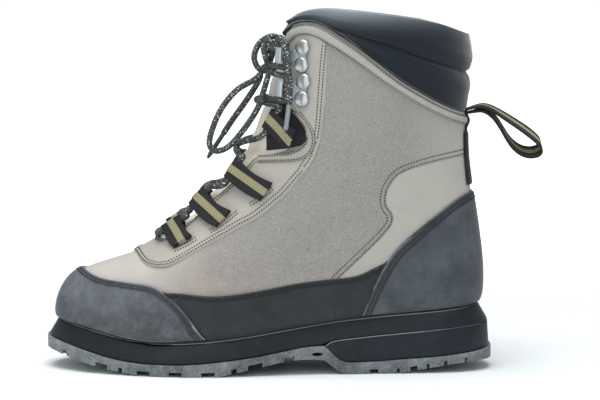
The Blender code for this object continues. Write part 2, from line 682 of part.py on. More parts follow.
def upper_rows():
    rows = [("closed", [(c, v) for c in COLUMNS])
            for v in CLOSED_LEVELS]
    rows.append(("closed", [(c, THROAT_START) for c in COLUMNS]))
    split = OPEN_LEVELS[-1]
    for level in OPEN_LEVELS:
        rows.append(("open", [open_point(c, level, 0) for c in COLUMNS]))
    for step in range(1, TOP_STEPS + 1):
        rows.append(("open", [open_point(c, split, step) for c in COLUMNS]))
    return rows


def build_upper():
    verts, faces, grids = [], [], []
    rows = upper_rows()
    last = 2 * UPPER_COLS
    for lift in (0.0, -WALL):
        grid = []
        for kind, spots in rows:
            line = []
            for k in range(last + 1):
                side = LATERAL if k <= UPPER_COLS else MEDIAL
                q, v = spots[k if k <= UPPER_COLS else last - k]
                line.append((around(q, side), v))
            # the row runs from the back centre over the lateral side; a closed row's front
            # point is shared, an open row has one front point a side
            ids = []
            for k in range(last):
                if kind == "open" and k == UPPER_COLS:
                    ids.append((len(verts), len(verts) + 1))
                    q, v = spots[UPPER_COLS]
                    for side in (LATERAL, MEDIAL):
                        verts.append(lifted(around(q, side), v, lift))
                else:
                    ids.append((len(verts), len(verts)))
                    verts.append(lifted(*line[k], lift))
            grid.append(ids)
        grids.append(grid)

    def quad(a, b, c, d, flip):
        loop = []
        for x in (a, b, c, d):
            if x not in loop:
                loop.append(x)
        faces.append(tuple(reversed(loop)) if flip else tuple(loop))

    for flip, grid in enumerate(grids):
        for i in range(len(rows) - 1):
            for k in range(last):
                n = (k + 1) % last
                quad(grid[i][k][1], grid[i][n][0], grid[i + 1][n][0], grid[i + 1][k][1], flip)
    out, into = grids
    for k in range(last):
        n = (k + 1) % last
        quad(out[0][k][0], into[0][k][0], into[0][n][0], out[0][n][0], 0)
        quad(out[-1][k][1], out[-1][n][0], into[-1][n][0], into[-1][k][1], 0)
    start = len(CLOSED_LEVELS)
    for i in range(start, len(rows) - 1):
        for which in (0, 1):
            quad(out[i][UPPER_COLS][which], out[i + 1][UPPER_COLS][which],
                 into[i + 1][UPPER_COLS][which], into[i][UPPER_COLS][which], which)
    return solid("upper", verts, faces, LOOK["upper_twill"])


upper = build_upper()

# overlays on the upper
FINE = 12
cap_rows = panel_rows(CAP_ROWS, FINE, 1)
rand_rows = panel_rows(RAND_ROWS, FINE)
counter_rows = panel_rows(COUNTER_ROWS, FINE, 0)
facing_rows = panel_rows(FACING_ROWS, FINE, 1)
notch_rows = panel_rows(NOTCH_ROWS, FINE)
binding_rows = list(reversed(panel_rows(BINDING_ROWS[::-1], FINE, 0)))
toe_cap = panel("toe_cap", even_stations(both_sides(cap_rows), 38), GAP, RUBBER,
                LOOK["cap_rubber"],
                ((0, .6), (.05, 1), (.18, 1), (.36, 1), (.58, 1), (.80, 1), (.95, 1), (1, .6)))
SIDES = (("lateral", LATERAL), ("medial", MEDIAL))
for word, side in SIDES:
    panel("rand_" + word, even_stations(one_side(rand_rows, side), 18), GAP, RUBBER * .9,
          LOOK["rand_rubber"],
          ((0, .6), (.06, 1), (.36, 1), (.66, 1), (.93, 1), (1, .6)))
heel_counter = panel("heel_counter", even_stations(both_sides(counter_rows), 34), GAP, RUBBER,
                     LOOK["counter_rubber"],
                     ((0, .6), (.03, 1), (.09, 1), (.18, 1), (.32, 1), (.54, 1), (.77, 1),
                      (.96, 1), (1, .6)))
facing = panel("facing", even_stations(both_sides(facing_rows), 66), GAP * 1.15, LEATHER,
               LOOK["facing_synthetic"],
               ((0, .4), (.06, 1), (.35, 1), (.65, 1), (.94, 1), (1, .5)))
top_binding = panel("top_binding",
                    even_stations(both_sides(list(reversed(binding_rows))), 38), GAP,
                    LEATHER * 1.7, LOOK["binding_synthetic"],
                    ((0, .3), (.20, .9), (.5, 1), (.80, .9), (1, .3)))
SECOND = GAP + LEATHER + GAP         # base of what lies on the facing
for word, side in SIDES:
    panel("notch_binding_" + word, even_stations(one_side(notch_rows, side), 14), SECOND,
          LEATHER * .9,
          LOOK["notch_binding"], ((0, .4), (.25, 1), (.75, 1), (1, .4)))

stay_low = on_skin(.957, .512)[1]
stay_high = on_skin(.944, .662)[1]
STAY_HALF_Q = .052
stay_outer, stay_inner = [], []
for k in range(7):
    v = stay_low + (stay_high - stay_low) * k / 6
    us = [STAY_HALF_Q / 2 * f for f in (1, .88, .45, 0, -.45, -.88, -1)]
    rise = (.5, 1, 1, 1, 1, 1, .5)
    stay_outer.append([lifted(u, v, GAP + LEATHER * h) for u, h in zip(us, rise)])
    stay_inner.append([lifted(u, v, GAP) for u in us])
backstay = sheet_solid("backstay", stay_outer, stay_inner, LOOK["backstay_web"])

# cuff
CUFF_COLS = 34
CUFF_END_Q = EDGE.at(17.0) - .012
TUCK = WALL + GAP * 1.5


def cuff_profile(q):
    """(level, lift) around the cuff's section at q, outside first."""
    t, c = TOP_V.at(q), CREST_V.at(q)
    g = min(max(GROOVE_V.at(q), t + .12), c - .25)
    low, mid = (t + g) / 2, (g + c) / 2
    inside = -TUCK - CUFF_THICK
    return ((t - 1.3, -TUCK), (t + .04, -TUCK), (t + .10, .0004), (low, .0022), (g, -.0004),
            (mid - .06, .0022), (c - .10, -.0006), (c, -.0042), (c - .16, inside * .80),
            (g, inside), (t - .3, inside * 1.02), (t - 1.15, inside * .62))


def build_cuff():
    verts, faces = [], []
    count = len(cuff_profile(.5))
    for k in range(CUFF_COLS + 1):
        a = -CUFF_END_Q + 2 * CUFF_END_Q * k / CUFF_COLS
        q = abs(a)
        thin = min(1.0, .55 + (CUFF_END_Q - q) / .16)
        for v, lift in cuff_profile(q):
            u = (-a / 2) % 1.0
            into = lift if lift > -TUCK - 1e-6 else -TUCK + (lift + TUCK) * thin
            verts.append(lifted(u, v, into))
    for k in range(CUFF_COLS):
        for i in range(count):
            j = (i + 1) % count
            faces.append((k * count + i, k * count + j, (k + 1) * count + j, (k + 1) * count + i))
    faces.append(tuple(range(count)))
    faces.append(tuple(range(CUFF_COLS * count, (CUFF_COLS + 1) * count)))
    return solid("cuff", verts, faces, LOOK["cuff_mesh"])


cuff = build_cuff()

# tongue
TONGUE_LEVELS = (7.3, 7.7, 8.1, 8.5, 9.0, 9.6, 10.2, 11, 11.8, 12.5, 13.2, 14, 15, 16, 16.8,
                 17.35, 17.55)
TONGUE_UNDER = WALL + GAP * 3
TONGUE_SIDE_Q = .012       # between the tongue and the cuff's ends
TONGUE_LEAN = .0080        # the tongue's top leans back from the top hooks


def tongue_half(v):
    """How far the tongue reaches to each side of the middle line, in q."""
    return (1 - EDGE.at(min(max(v, THROAT_START + .6), 17.0))) + .045


tongue_outer, tongue_inner = [], []
for v in TONGUE_LEVELS:
    reach = tongue_half(v)
    if v > 14.7:
        reach = (1 - CUFF_END_Q) - TONGUE_SIDE_Q
    under = TONGUE_UNDER + TONGUE_LEAN * smooth_step((v - 14.4) / 3.4)
    spread = (-1, -.88, -.66, -.42, -.18, 0, .18, .42, .66, .88, 1)
    thin = (.35, 1, 1, 1, 1, 1, 1, 1, 1, 1, .35)
    tongue_outer.append([lifted(.5 + f * reach / 2, v, -under) for f in spread])
    tongue_inner.append([lifted(.5 + f * reach / 2, v, -under - TONGUE_THICK * h)
                         for f, h in zip(spread, thin)])
tongue = sheet_solid("tongue", tongue_outer, tongue_inner, LOOK["tongue_synthetic"])

# webbing loops
EYE_R = LACE_R + .0007
lace_gates = {}


def webbing_loop(number, word, side):
    """Folded webbing: two layers stitched down on the facing, open as an eye at the throat."""
    low_s, low_z, high_s, high_z = LOOPS[number]
    (q0, v0), (q1, v1) = on_skin(low_s, low_z), on_skin(high_s, high_z)
    base = SECOND + GAP + (LEATHER + GAP if number == len(LOOPS) - 1 else 0)
    outer_r = EYE_R + WEB_THICK

    def at(f):
        u, v = around(q0 + (q1 - q0) * f, side), v0 + (v1 - v0) * f
        return skin(u, v), normal(u, v)

    (low, low_out), (high, out) = at(0), at(1)
    way = high - low
    way = (way - out * way.dot(out)).normalized()
    along = way.cross((low_out + out).normalized()).normalized()
    centre = high + out * (base + outer_r + .0003)
    outer, inner = [], []
    flat = (0.0, .25, .5, .75)
    tops, bottoms = [], []
    for f in flat:
        spot, lift = at(f)
        open_up = max(0.0, (f - .3) / .7) ** 2 * outer_r
        tops.append((spot + lift * (base + WEB_THICK * 2 + .0003 + open_up),
                     spot + lift * (base + WEB_THICK + .0003 + open_up)))
        bottoms.append((spot + lift * base, spot + lift * (base + WEB_THICK)))
    for a, b in tops:
        outer.append(a)
        inner.append(b)
    turn = 8
    for k in range(turn + 1):
        a = math.pi / 2 - math.pi * k / turn
        spoke = way * math.cos(a) + out * math.sin(a)
        outer.append(centre + spoke * outer_r)
        inner.append(centre + spoke * EYE_R)
    for a, b in reversed(bottoms):
        outer.append(a)
        inner.append(b)
    step = (tops[1][1] - tops[0][1]) * .25
    inner[0] = inner[0] + step
    inner[-1] = inner[-1] + step
    lace_gates[word, number] = (centre, along if along.z > 0 else along * -1,
                                (around(q1, side), v1))
    return ring_prism(f"loop_{word}_{number + 1}", outer, inner, along * WEB_HALF,
                      LOOK["webbing"])


for word, side in SIDES:
    for number in range(len(LOOPS)):
        webbing_loop(number, word, side)


# hooks and rivets
HOOK_IN_R = LACE_R + .0011


def hook(number, word, side):
    share, height = HOOKS[number]
    here, way, out, along, _ = frame_at(share, height, side, SECOND + GAP,
                                        (share - .03, height + .002))
    name = f"hook_{word}_{number + 1}"
    back, front = -.0052, .0088
    corner = .0022
    half = HOOK_RISE * BOOT_HEIGHT * 2 * .86
    plate_line = ((back, -half + corner), (back + corner, -half), (.0030, -half),
                  (front * .6, -half * .55), (front * .6, half * .55), (.0030, half),
                  (back + corner, half), (back, half - corner))
    verts = [here + way * d + along * w for d, w in plate_line]
    verts += [p + out * PLATE_THICK for p in verts]
    n = len(plate_line)
    faces = [tuple(range(n)), tuple(range(n, 2 * n))]
    faces += [(i, (i + 1) % n, n + (i + 1) % n, n + i) for i in range(n)]
    plate = solid(name, verts, faces, LOOK["hook_metal"])
    # the curl: flat over the plate's edge, around the lace, and back over it
    outer_r = HOOK_IN_R + PLATE_THICK
    line = [(front * .25, PLATE_THICK), (front * .25, .0)]
    centre = (front, outer_r)
    arc = [(-90 + 210 * k / 8) for k in range(9)]
    outer = [(centre[0] + outer_r * math.cos(math.radians(a)),
              centre[1] + outer_r * math.sin(math.radians(a))) for a in arc]
    inner = [(centre[0] + HOOK_IN_R * math.cos(math.radians(a)),
              centre[1] + HOOK_IN_R * math.sin(math.radians(a))) for a in reversed(arc)]
    outline = [line[0], line[1]] + outer + inner
    wide = .0036
    verts = [here + way * d + out * (h + .00005) + along * -wide for d, h in outline]
    verts += [p + along * 2 * wide for p in verts]
    n = len(outline)
    faces = [(i, (i + 1) % n, n + (i + 1) % n, n + i) for i in range(n)]
    strips = [(0, 1, 2, n - 1)] + [(i, i + 1, n - i, n - i + 1) for i in range(2, 10)]
    for strip in strips:
        faces += [strip, tuple(k + n for k in strip)]
    curl = solid(name + "_curl", verts, faces, None, cutters)
    boolean(plate, curl, "UNION")
    q, v = on_skin(share - front / SOLE_LENGTH, height)
    lace_gates[word, len(LOOPS) + number] = (here + way * centre[0] + out * centre[1],
                                             along if along.z > 0 else along * -1,
                                             (around(q, side), v))
    for k, rise in enumerate((-1, 1)):
        spot = here + along * rise * HOOK_RISE * BOOT_HEIGHT * 1.12 + out * PLATE_THICK
        dome = []
        for ring_r, ring_h in ((1, .00012), (1, .0007), (.68, .0017)):
            dome.append([spot + out * ring_h + (way * math.cos(a) + along * math.sin(a))
                         * RIVET_R * ring_r
                         for a in (2 * math.pi * i / 10 for i in range(10))])
        points = [p for ring in dome for p in ring] + [spot + out * .0021]
        skins = [tuple(range(10))]
        for ring in range(2):
            skins += [(ring * 10 + i, ring * 10 + (i + 1) % 10, ring * 10 + 10 + (i + 1) % 10,
                       ring * 10 + 10 + i) for i in range(10)]
        skins += [(20 + i, 20 + (i + 1) % 10, 30) for i in range(10)]
        solid(f"rivet_{word}_{number * 2 + k + 1}", points, skins, LOOK["rivet_metal"])


for word, side in SIDES:
    for number in range(len(HOOKS)):
        hook(number, word, side)


# pull loop
def offset_line(points, amount):
    out = []
    n = len(points)
    for i, p in enumerate(points):
        along = (points[min(i + 1, n - 1)] - points[max(i - 1, 0)]).normalized()
        out.append(p + Vector((-along.z, 0, along.x)) * amount)
    return out


def build_pull_loop():
    mid = rounded([place(s, 0, z) for s, z in PULL_PATH], 2)
    half = WEB_THICK * .62
    left, right = offset_line(mid, half), offset_line(mid, -half)
    last = len(mid) - 1
    tilts = [PULL_TILT * smooth_step(3 * min(i, last - i) / last) for i in range(last + 1)]
    rows_a, rows_b = ([[p + Vector((0, y, y * tilt)) for y in (-PULL_HALF, 0, PULL_HALF)]
                       for p, tilt in zip(row, tilts)] for row in (left, right))
    return sheet_solid("pull_loop", rows_a, rows_b, LOOK["pull_webbing"])


pull_loop = build_pull_loop()


# lace
LACE_LIFT = LACE_R + .0023      # of the crossings' middle line over the upper's face
KNOT_U, KNOT_V = .4620, 15.9
KNOT_R = (.0062, .0068, .0088)
KNOT = lifted(KNOT_U, KNOT_V, .0092)
LACE_OUT = .0040                # straight run beyond each loop before the lace turns


def near_level(u, spot):
    levels = [7 + .1 * k for k in range(115)]
    return min(levels, key=lambda v: (skin(u, v) - spot).length)


def crossing(u0, spot0, u1, spot1, shares):
    v0, v1 = near_level(u0, spot0), near_level(u1, spot1)
    return [lifted(u0 + (u1 - u0) * f, v0 + (v1 - v0) * f, LACE_LIFT) for f in shares]


def strand(first, second):
    """Middle line from the lowest loops to the top hooks, crossing over at each level."""
    words, line, last = (first, second), [], None
    gate, along, (u, _) = lace_gates[second, 0]
    start = gate - along * (WEB_HALF + LACE_OUT)
    if first == "lateral":           # the bar over the vamp joins the two lowest loops
        line.append(start)
        last = (u, start)
    for level in range(len(LOOPS) + len(HOOKS)):
        gate, along, (u, _) = lace_gates[words[level % 2], level]
        reach = WEB_HALF if level < len(LOOPS) else .0040
        run = [gate + along * d for d in (-reach - LACE_OUT, -reach, reach, reach + LACE_OUT)]
        if last:
            line += crossing(*last, u, run[0], (.14, .3, .5, .7, .86))
        line += run
        last = (u, run[-1])
    return line + crossing(*last, KNOT_U, KNOT, (.3, .55, .74))


lace_a = tube("lace", strand("lateral", "medial"), LACE_R,
              LOOK["lace_cord"], 6)
lace_b = tube("lace_cross", strand("medial", "lateral"), LACE_R, None, 6,
              cutters)
boolean(lace_a, lace_b, "UNION")

# knot, bow and ends
knot_rings = []
for ring in range(1, 5):
    a = math.pi * ring / 5
    knot_rings.append([KNOT + Vector((KNOT_R[0] * math.sin(a) * math.cos(b),
                                      KNOT_R[1] * math.sin(a) * math.sin(b),
                                      KNOT_R[2] * math.cos(a)))
                       for b in (2 * math.pi * i / 8 for i in range(8))])
knot_verts = [KNOT + Vector((0, 0, KNOT_R[2])), KNOT - Vector((0, 0, KNOT_R[2]))]
knot_verts += [p for ring in knot_rings for p in ring]
knot_faces = [(0, 2 + i, 2 + (i + 1) % 8) for i in range(8)]
knot_faces += [(1, 26 + (i + 1) % 8, 26 + i) for i in range(8)]
knot_faces += [(2 + r * 8 + i, 10 + r * 8 + i, 10 + r * 8 + (i + 1) % 8, 2 + r * 8 + (i + 1) % 8)
               for r in range(3) for i in range(8)]
knot = solid("knot", knot_verts, knot_faces, LOOK["end_cord"])

# middle lines of the bow, from the knot's face: share, side offset in metres, height
BOW = (
    ("bow_loop_large", (
        (.4840, -.0200, .8240), (.4700, -.0210, .8060), (.4300, -.0210, .7760),
        (.3960, -.0210, .7240), (.3760, -.0215, .6680), (.3700, -.0220, .6320),
        (.3770, -.0225, .6120), (.3930, -.0225, .6100), (.4150, -.0230, .6240),
        (.4380, -.0240, .6560), (.4600, -.0260, .6930), (.4790, -.0275, .7330),
        (.4900, -.0280, .7730), (.4980, -.0270, .8080), (.5020, -.0250, .8260))),
    ("bow_loop_small", (
        (.4960, -.0130, .9180), (.4860, -.0130, .9290), (.4700, -.0125, .9270),
        (.4580, -.0120, .9080), (.4550, -.0120, .8850), (.4585, -.0125, .8680),
        (.4640, -.0130, .8600))),
    ("lace_end_front", (
        (.4840, -.0110, .8240), (.4760, -.0110, .7960), (.4480, -.0110, .7420),
        (.4180, -.0110, .6900), (.3930, -.0110, .6420), (.3760, -.0110, .6100),
        (.3640, -.0110, .5860))),
    ("lace_end_lateral", (
        (.5190, -.0275, .9080), (.5280, -.0400, .9210), (.5370, -.0480, .8980),
        (.5450, -.0500, .8400), (.5480, -.0500, .7900), (.5470, -.0500, .7500),
        (.5440, -.0500, .7170), (.5380, -.0500, .6600))),
)
for name, line in BOW:
    tube(name, rounded([place(share, y, z) for share, y, z in line], 2), LACE_R,
         LOOK["end_cord"], 6)
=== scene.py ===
"""Looks of the wading boot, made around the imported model.

Every soft or rubber piece starts as a copy of its solid, which is merged, given round edges and
smoothed, and then gets its creases, seams, stitches and finish. Lengths are in metres.
"""
import json
import math

import bmesh
import bpy
import numpy as np
from mathutils import Vector
from mathutils.bvhtree import BVHTree
from mathutils.kdtree import KDTree
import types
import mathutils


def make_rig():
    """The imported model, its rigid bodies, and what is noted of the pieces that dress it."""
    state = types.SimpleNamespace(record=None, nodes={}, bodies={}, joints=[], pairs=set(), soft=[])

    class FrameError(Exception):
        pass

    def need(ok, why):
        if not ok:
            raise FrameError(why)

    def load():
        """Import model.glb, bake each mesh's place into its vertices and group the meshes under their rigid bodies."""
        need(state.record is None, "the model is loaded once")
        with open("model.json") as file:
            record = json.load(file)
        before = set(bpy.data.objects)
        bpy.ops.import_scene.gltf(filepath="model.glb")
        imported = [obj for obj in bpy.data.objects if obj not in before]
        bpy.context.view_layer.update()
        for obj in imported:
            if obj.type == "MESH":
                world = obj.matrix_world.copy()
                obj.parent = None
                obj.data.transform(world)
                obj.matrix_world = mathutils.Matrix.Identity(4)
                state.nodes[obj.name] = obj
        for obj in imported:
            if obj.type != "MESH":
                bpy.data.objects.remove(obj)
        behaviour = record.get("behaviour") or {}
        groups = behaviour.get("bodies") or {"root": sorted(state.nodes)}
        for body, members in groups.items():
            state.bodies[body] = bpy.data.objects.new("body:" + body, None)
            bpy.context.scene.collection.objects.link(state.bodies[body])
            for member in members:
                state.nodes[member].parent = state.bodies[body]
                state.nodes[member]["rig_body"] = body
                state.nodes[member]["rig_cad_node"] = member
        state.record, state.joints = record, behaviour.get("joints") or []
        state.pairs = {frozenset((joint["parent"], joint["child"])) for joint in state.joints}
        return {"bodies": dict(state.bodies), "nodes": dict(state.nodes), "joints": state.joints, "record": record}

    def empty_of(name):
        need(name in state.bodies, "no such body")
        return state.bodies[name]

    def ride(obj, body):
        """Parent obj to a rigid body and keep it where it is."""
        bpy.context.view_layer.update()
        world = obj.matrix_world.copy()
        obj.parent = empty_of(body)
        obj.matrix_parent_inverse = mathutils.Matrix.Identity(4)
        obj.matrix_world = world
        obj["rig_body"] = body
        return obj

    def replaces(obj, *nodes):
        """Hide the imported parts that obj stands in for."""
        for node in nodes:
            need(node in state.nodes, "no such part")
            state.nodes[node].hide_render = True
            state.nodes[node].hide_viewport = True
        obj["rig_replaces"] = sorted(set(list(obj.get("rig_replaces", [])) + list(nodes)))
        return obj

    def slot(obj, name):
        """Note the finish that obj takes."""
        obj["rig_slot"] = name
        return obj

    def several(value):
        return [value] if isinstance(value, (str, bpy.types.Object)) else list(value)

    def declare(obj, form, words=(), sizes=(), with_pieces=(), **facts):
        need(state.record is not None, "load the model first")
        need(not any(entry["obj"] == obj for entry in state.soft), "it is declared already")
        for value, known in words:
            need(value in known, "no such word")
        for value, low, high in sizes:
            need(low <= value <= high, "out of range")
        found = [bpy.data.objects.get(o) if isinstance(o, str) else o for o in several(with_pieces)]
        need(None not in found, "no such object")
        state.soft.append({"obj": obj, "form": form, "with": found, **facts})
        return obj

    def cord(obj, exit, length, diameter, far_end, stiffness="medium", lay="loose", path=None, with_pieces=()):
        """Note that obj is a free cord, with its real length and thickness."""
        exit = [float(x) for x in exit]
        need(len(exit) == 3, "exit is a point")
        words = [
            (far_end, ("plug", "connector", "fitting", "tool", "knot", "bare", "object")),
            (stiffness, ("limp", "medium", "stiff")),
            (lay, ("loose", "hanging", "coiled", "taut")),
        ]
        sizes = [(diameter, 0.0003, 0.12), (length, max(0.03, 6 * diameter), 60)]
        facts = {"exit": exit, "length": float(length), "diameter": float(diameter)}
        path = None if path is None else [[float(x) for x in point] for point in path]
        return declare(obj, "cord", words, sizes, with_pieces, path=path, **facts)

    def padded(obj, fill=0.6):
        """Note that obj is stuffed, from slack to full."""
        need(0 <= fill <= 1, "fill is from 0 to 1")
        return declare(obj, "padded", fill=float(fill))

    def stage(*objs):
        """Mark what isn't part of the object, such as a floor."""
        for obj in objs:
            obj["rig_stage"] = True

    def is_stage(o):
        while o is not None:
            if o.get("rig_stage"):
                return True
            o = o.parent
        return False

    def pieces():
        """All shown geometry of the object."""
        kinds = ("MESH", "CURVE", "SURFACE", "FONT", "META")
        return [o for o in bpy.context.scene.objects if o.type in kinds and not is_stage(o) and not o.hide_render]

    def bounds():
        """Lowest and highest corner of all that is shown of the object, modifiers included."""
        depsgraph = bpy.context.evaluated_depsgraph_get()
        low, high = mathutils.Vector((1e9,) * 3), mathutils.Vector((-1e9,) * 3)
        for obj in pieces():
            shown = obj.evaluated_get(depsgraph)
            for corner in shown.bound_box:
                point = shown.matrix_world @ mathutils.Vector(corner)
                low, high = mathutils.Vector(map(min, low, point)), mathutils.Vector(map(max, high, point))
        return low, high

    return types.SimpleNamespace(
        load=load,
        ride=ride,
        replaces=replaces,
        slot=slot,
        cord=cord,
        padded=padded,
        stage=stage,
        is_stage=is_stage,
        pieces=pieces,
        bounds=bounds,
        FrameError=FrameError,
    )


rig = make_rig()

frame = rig.load()
cad_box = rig.bounds()
bpy.ops.object.select_all(action="DESELECT")

SOLE_LENGTH, BOOT_HEIGHT = .312, .250
HEEL_REST = .712  # share of the sole's length that lies before X = 0
SIDES = "lateral", "medial"
SPINE = [Vector(p) for p in (  # runs inside the boot, from toe to heel and up the shaft
    (-.170, 0, .045), (-.100, 0, .055), (-.025, 0, .060), (0, 0, .120), (-.005, 0, .250))]

# Camera: level with the collar and pitched down, as the photograph was taken.
eye = Vector((-.0442, -1.500, .237))
bpy.ops.object.camera_add(location=eye, rotation=(math.radians(90 - 4.59), 0, 0))
camera = bpy.context.object
camera.data.lens, camera.data.sensor_width = 128.7, 36
bpy.context.scene.camera = camera
bpy.context.scene.view_settings.view_transform = "Standard"
PIXEL = 1 / 2134  # metres a picture point covers, for each metre from the camera
SIDE_Y = -.040  # plane of the boot's outer side


def seen(right, down):
    """Place along X and Z, in the boot's outer side, of a point of the 600 by 400 picture."""
    scale = (SIDE_Y - eye.y) * PIXEL
    return eye.x + (right - 300) * scale, eye.z - (down - 27.5) * scale


# Small helpers for meshes.

def only(piece):
    """Selects one piece and makes it the active one."""
    bpy.ops.object.select_all(action="DESELECT")
    piece.select_set(True)
    bpy.context.view_layer.objects.active = piece


def apply(piece, kind, **settings):
    """Adds a modifier, sets it and applies it."""
    only(piece)
    modifier = piece.modifiers.new(kind.lower(), kind)
    for key, value in settings.items():
        setattr(modifier, key, value)
    bpy.ops.object.modifier_apply(modifier=modifier.name)


def in_edit_mode(piece, *steps):
    only(piece)
    bpy.ops.object.mode_set(mode="EDIT")
    bpy.ops.mesh.select_all(action="SELECT")
    for operator, settings in steps:
        operator(**settings)
    bpy.ops.object.mode_set(mode="OBJECT")


def start_from(node, name):
    """A new piece with a CAD node's faces, merged and turned back into four-sided ones."""
    piece = bpy.data.objects.new(name, frame["nodes"][node].data.copy())
    bpy.context.collection.objects.link(piece)
    piece.data.materials.clear()
    only(piece)
    bpy.ops.mesh.customdata_custom_splitnormals_clear()
    in_edit_mode(piece, (bpy.ops.mesh.remove_doubles, {"threshold": .00002}),
                 (bpy.ops.mesh.tris_convert_to_quads, {"face_threshold": math.radians(30),
                                                       "shape_threshold": math.radians(80)}))
    return piece


def round_off(piece, width, levels, angle=38):
    """Rounds the sharp edges and smooths the whole piece."""
    apply(piece, "BEVEL", width=width, segments=2, limit_method="ANGLE",
          angle_limit=math.radians(angle))
    if levels:
        apply(piece, "SUBSURF", levels=levels, render_levels=levels)
    smooth(piece)


def rounded(node, suffix, width, levels, angle=38):
    piece = start_from(node, node + suffix)
    round_off(piece, width, levels, angle)
    return piece


def smooth(piece):
    only(piece)
    bpy.ops.object.shade_smooth()


def new_piece(name, verts, faces):
    made = bpy.data.meshes.new(name)
    made.from_pydata([tuple(v) for v in verts], [], faces)
    piece = bpy.data.objects.new(name, made)
    bpy.context.collection.objects.link(piece)
    return piece


def surface_of(piece):
    """A piece's surface, for rays and nearest places."""
    return BVHTree.FromObject(piece, bpy.context.evaluated_depsgraph_get())


def from_side(surface, x, z, way):
    """Where a line across the boot meets a surface, with way -1 from the medial side."""
    return surface.ray_cast(Vector((x, -way * .2, z)), Vector((0, way, 0)))[0]


def from_behind(surface, y, z):
    return surface.ray_cast(Vector((.15, y, z)), Vector((-1, 0, 0)))[0]


def points_of(piece, what="co"):
    """The places of a piece's points, or their directions for "normal"."""
    flat = np.empty(len(piece.data.vertices) * 3, np.float32)
    piece.data.vertices.foreach_get(what, flat)
    return flat.reshape(-1, 3).astype(float)


def move_points(piece, places):
    piece.data.vertices.foreach_set("co", places.astype(np.float32).ravel())
    piece.data.update()


def note(piece, name, values):
    """Keeps one number for each point of a piece, for its material to read."""
    kept = piece.data.attributes.new(name, "FLOAT", "POINT")
    kept.data.foreach_set("value", np.asarray(values, np.float32))


def gently(share):
    """Turns a share from 0 to 1 into one that starts and ends slowly."""
    share = np.clip(share, 0, 1)
    return share * share * (3 - 2 * share)


def away(point):
    """Direction from the boot's inside through a point."""
    best = None
    for a, b in zip(SPINE, SPINE[1:]):
        t = max(0, min(1, (point - a).dot(b - a) / (b - a).length_squared))
        near = a.lerp(b, t)
        if best is None or (point - near).length < best.length:
            best = point - near
    return best.normalized()


def outward(places):
    return np.array([away(Vector(p)) for p in places])


def faced(piece):
    """A piece's points, their directions, and how much each of these turns outwards."""
    places, ways = points_of(piece), points_of(piece, "normal")
    return places, ways, np.einsum("ij,ij->i", outward(places), ways)


def resampled(line, step):
    """Points at equal steps along a line."""
    out, left = [line[0].copy()], step
    for a, b in zip(line, line[1:]):
        length, done = (b - a).length, 0
        while length - done >= left:
            done += left
            out.append(a.lerp(b, done / length))
            left = step
        left -= length - done
    return out


def curved(points, steps=8):
    """A smooth line through some points."""
    points = [Vector(p) for p in points]
    points = [points[0], *points, points[-1]]
    out = []
    for a, b, c, d in zip(points, points[1:], points[2:], points[3:]):
        for k in range(steps):
            t = k / steps
            out.append(.5 * ((2 * b) + (c - a) * t + (2 * a - 5 * b + 4 * c - d) * t * t
                             + (3 * b - a - 3 * c + d) * t ** 3))
    return out + [points[-1]]


def tree_of(points):
    tree = KDTree(len(points))
    for i, p in enumerate(points):
        tree.insert(p, i)
    tree.balance()
    return tree


def distances(places, line):
    """Distance of every place from the nearest point of a finely sampled line."""
    tree = tree_of(line)
    return np.array([tree.find(p)[2] for p in places])


FACES_OUT = .45  # least cosine between an outer face's direction and the way out
SHARP = .5  # least angle of a border edge, in radians
JOIN_REACH = .019  # chains that end nearer than this belong together


def whole(p, inward):
    return True


def rims(piece, keep=whole):
    """The outer border lines of a panel: chains of (point, direction into the panel)."""
    mesh = bmesh.new()
    mesh.from_mesh(piece.data)
    mesh.normal_update()
    outer = {f for f in mesh.faces if f.normal.dot(away(f.calc_center_median())) > FACES_OUT}
    border = {}
    for edge in mesh.edges:
        faces = edge.link_faces
        if len(faces) != 2 or (faces[0] in outer) == (faces[1] in outer) \
                or edge.calc_face_angle() < SHARP:
            continue
        face = faces[0] if faces[0] in outer else faces[1]
        a, b = (v.co.copy() for v in edge.verts)
        side = (b - a).cross(face.normal).normalized()
        if side.dot(face.calc_center_median() - a) < 0:
            side.negate()
        if keep((a + b) / 2, side):
            border[edge.index] = (edge.verts[0].index, edge.verts[1].index, side)
    place = {v.index: v.co.copy() for v in mesh.verts}
    mesh.free()
    at = {}
    for key, (a, b, _) in border.items():
        at.setdefault(a, []).append(key)
        at.setdefault(b, []).append(key)
    chains, used = [], set()
    for start in sorted(v for v, e in at.items() if len(e) == 1) + sorted(at):
        here, chain = start, []
        while True:
            following = [e for e in at[here] if e not in used]
            if not following:
                break
            used.add(following[0])
            a, b, side = border[following[0]]
            chain.append((place[here], side))
            here = b if here == a else a
        if chain:
            chain.append((place[here], chain[-1][1]))
            if len(chain) > 3:
                chains.append(chain)
    return joined(chains)


def joined(chains):
    """Joins border chains whose ends lie near each other."""
    for i, first in enumerate(chains):
        for j in range(i + 1, len(chains)):
            for a in (first, first[::-1]):
                for b in (chains[j], chains[j][::-1]):
                    if (a[-1][0] - b[0][0]).length < JOIN_REACH:
                        rest = [c for k, c in enumerate(chains) if k not in (i, j)]
                        return joined(rest + [a + b])
    return chains


def spread(chain, step):
    """A border chain at equal, fine steps."""
    out = []
    for (a, s), (b, t) in zip(chain, chain[1:]):
        count = max(1, round((b - a).length / step))
        out += [(a.lerp(b, k / count), s.lerp(t, k / count).normalized()) for k in range(count)]
    return out


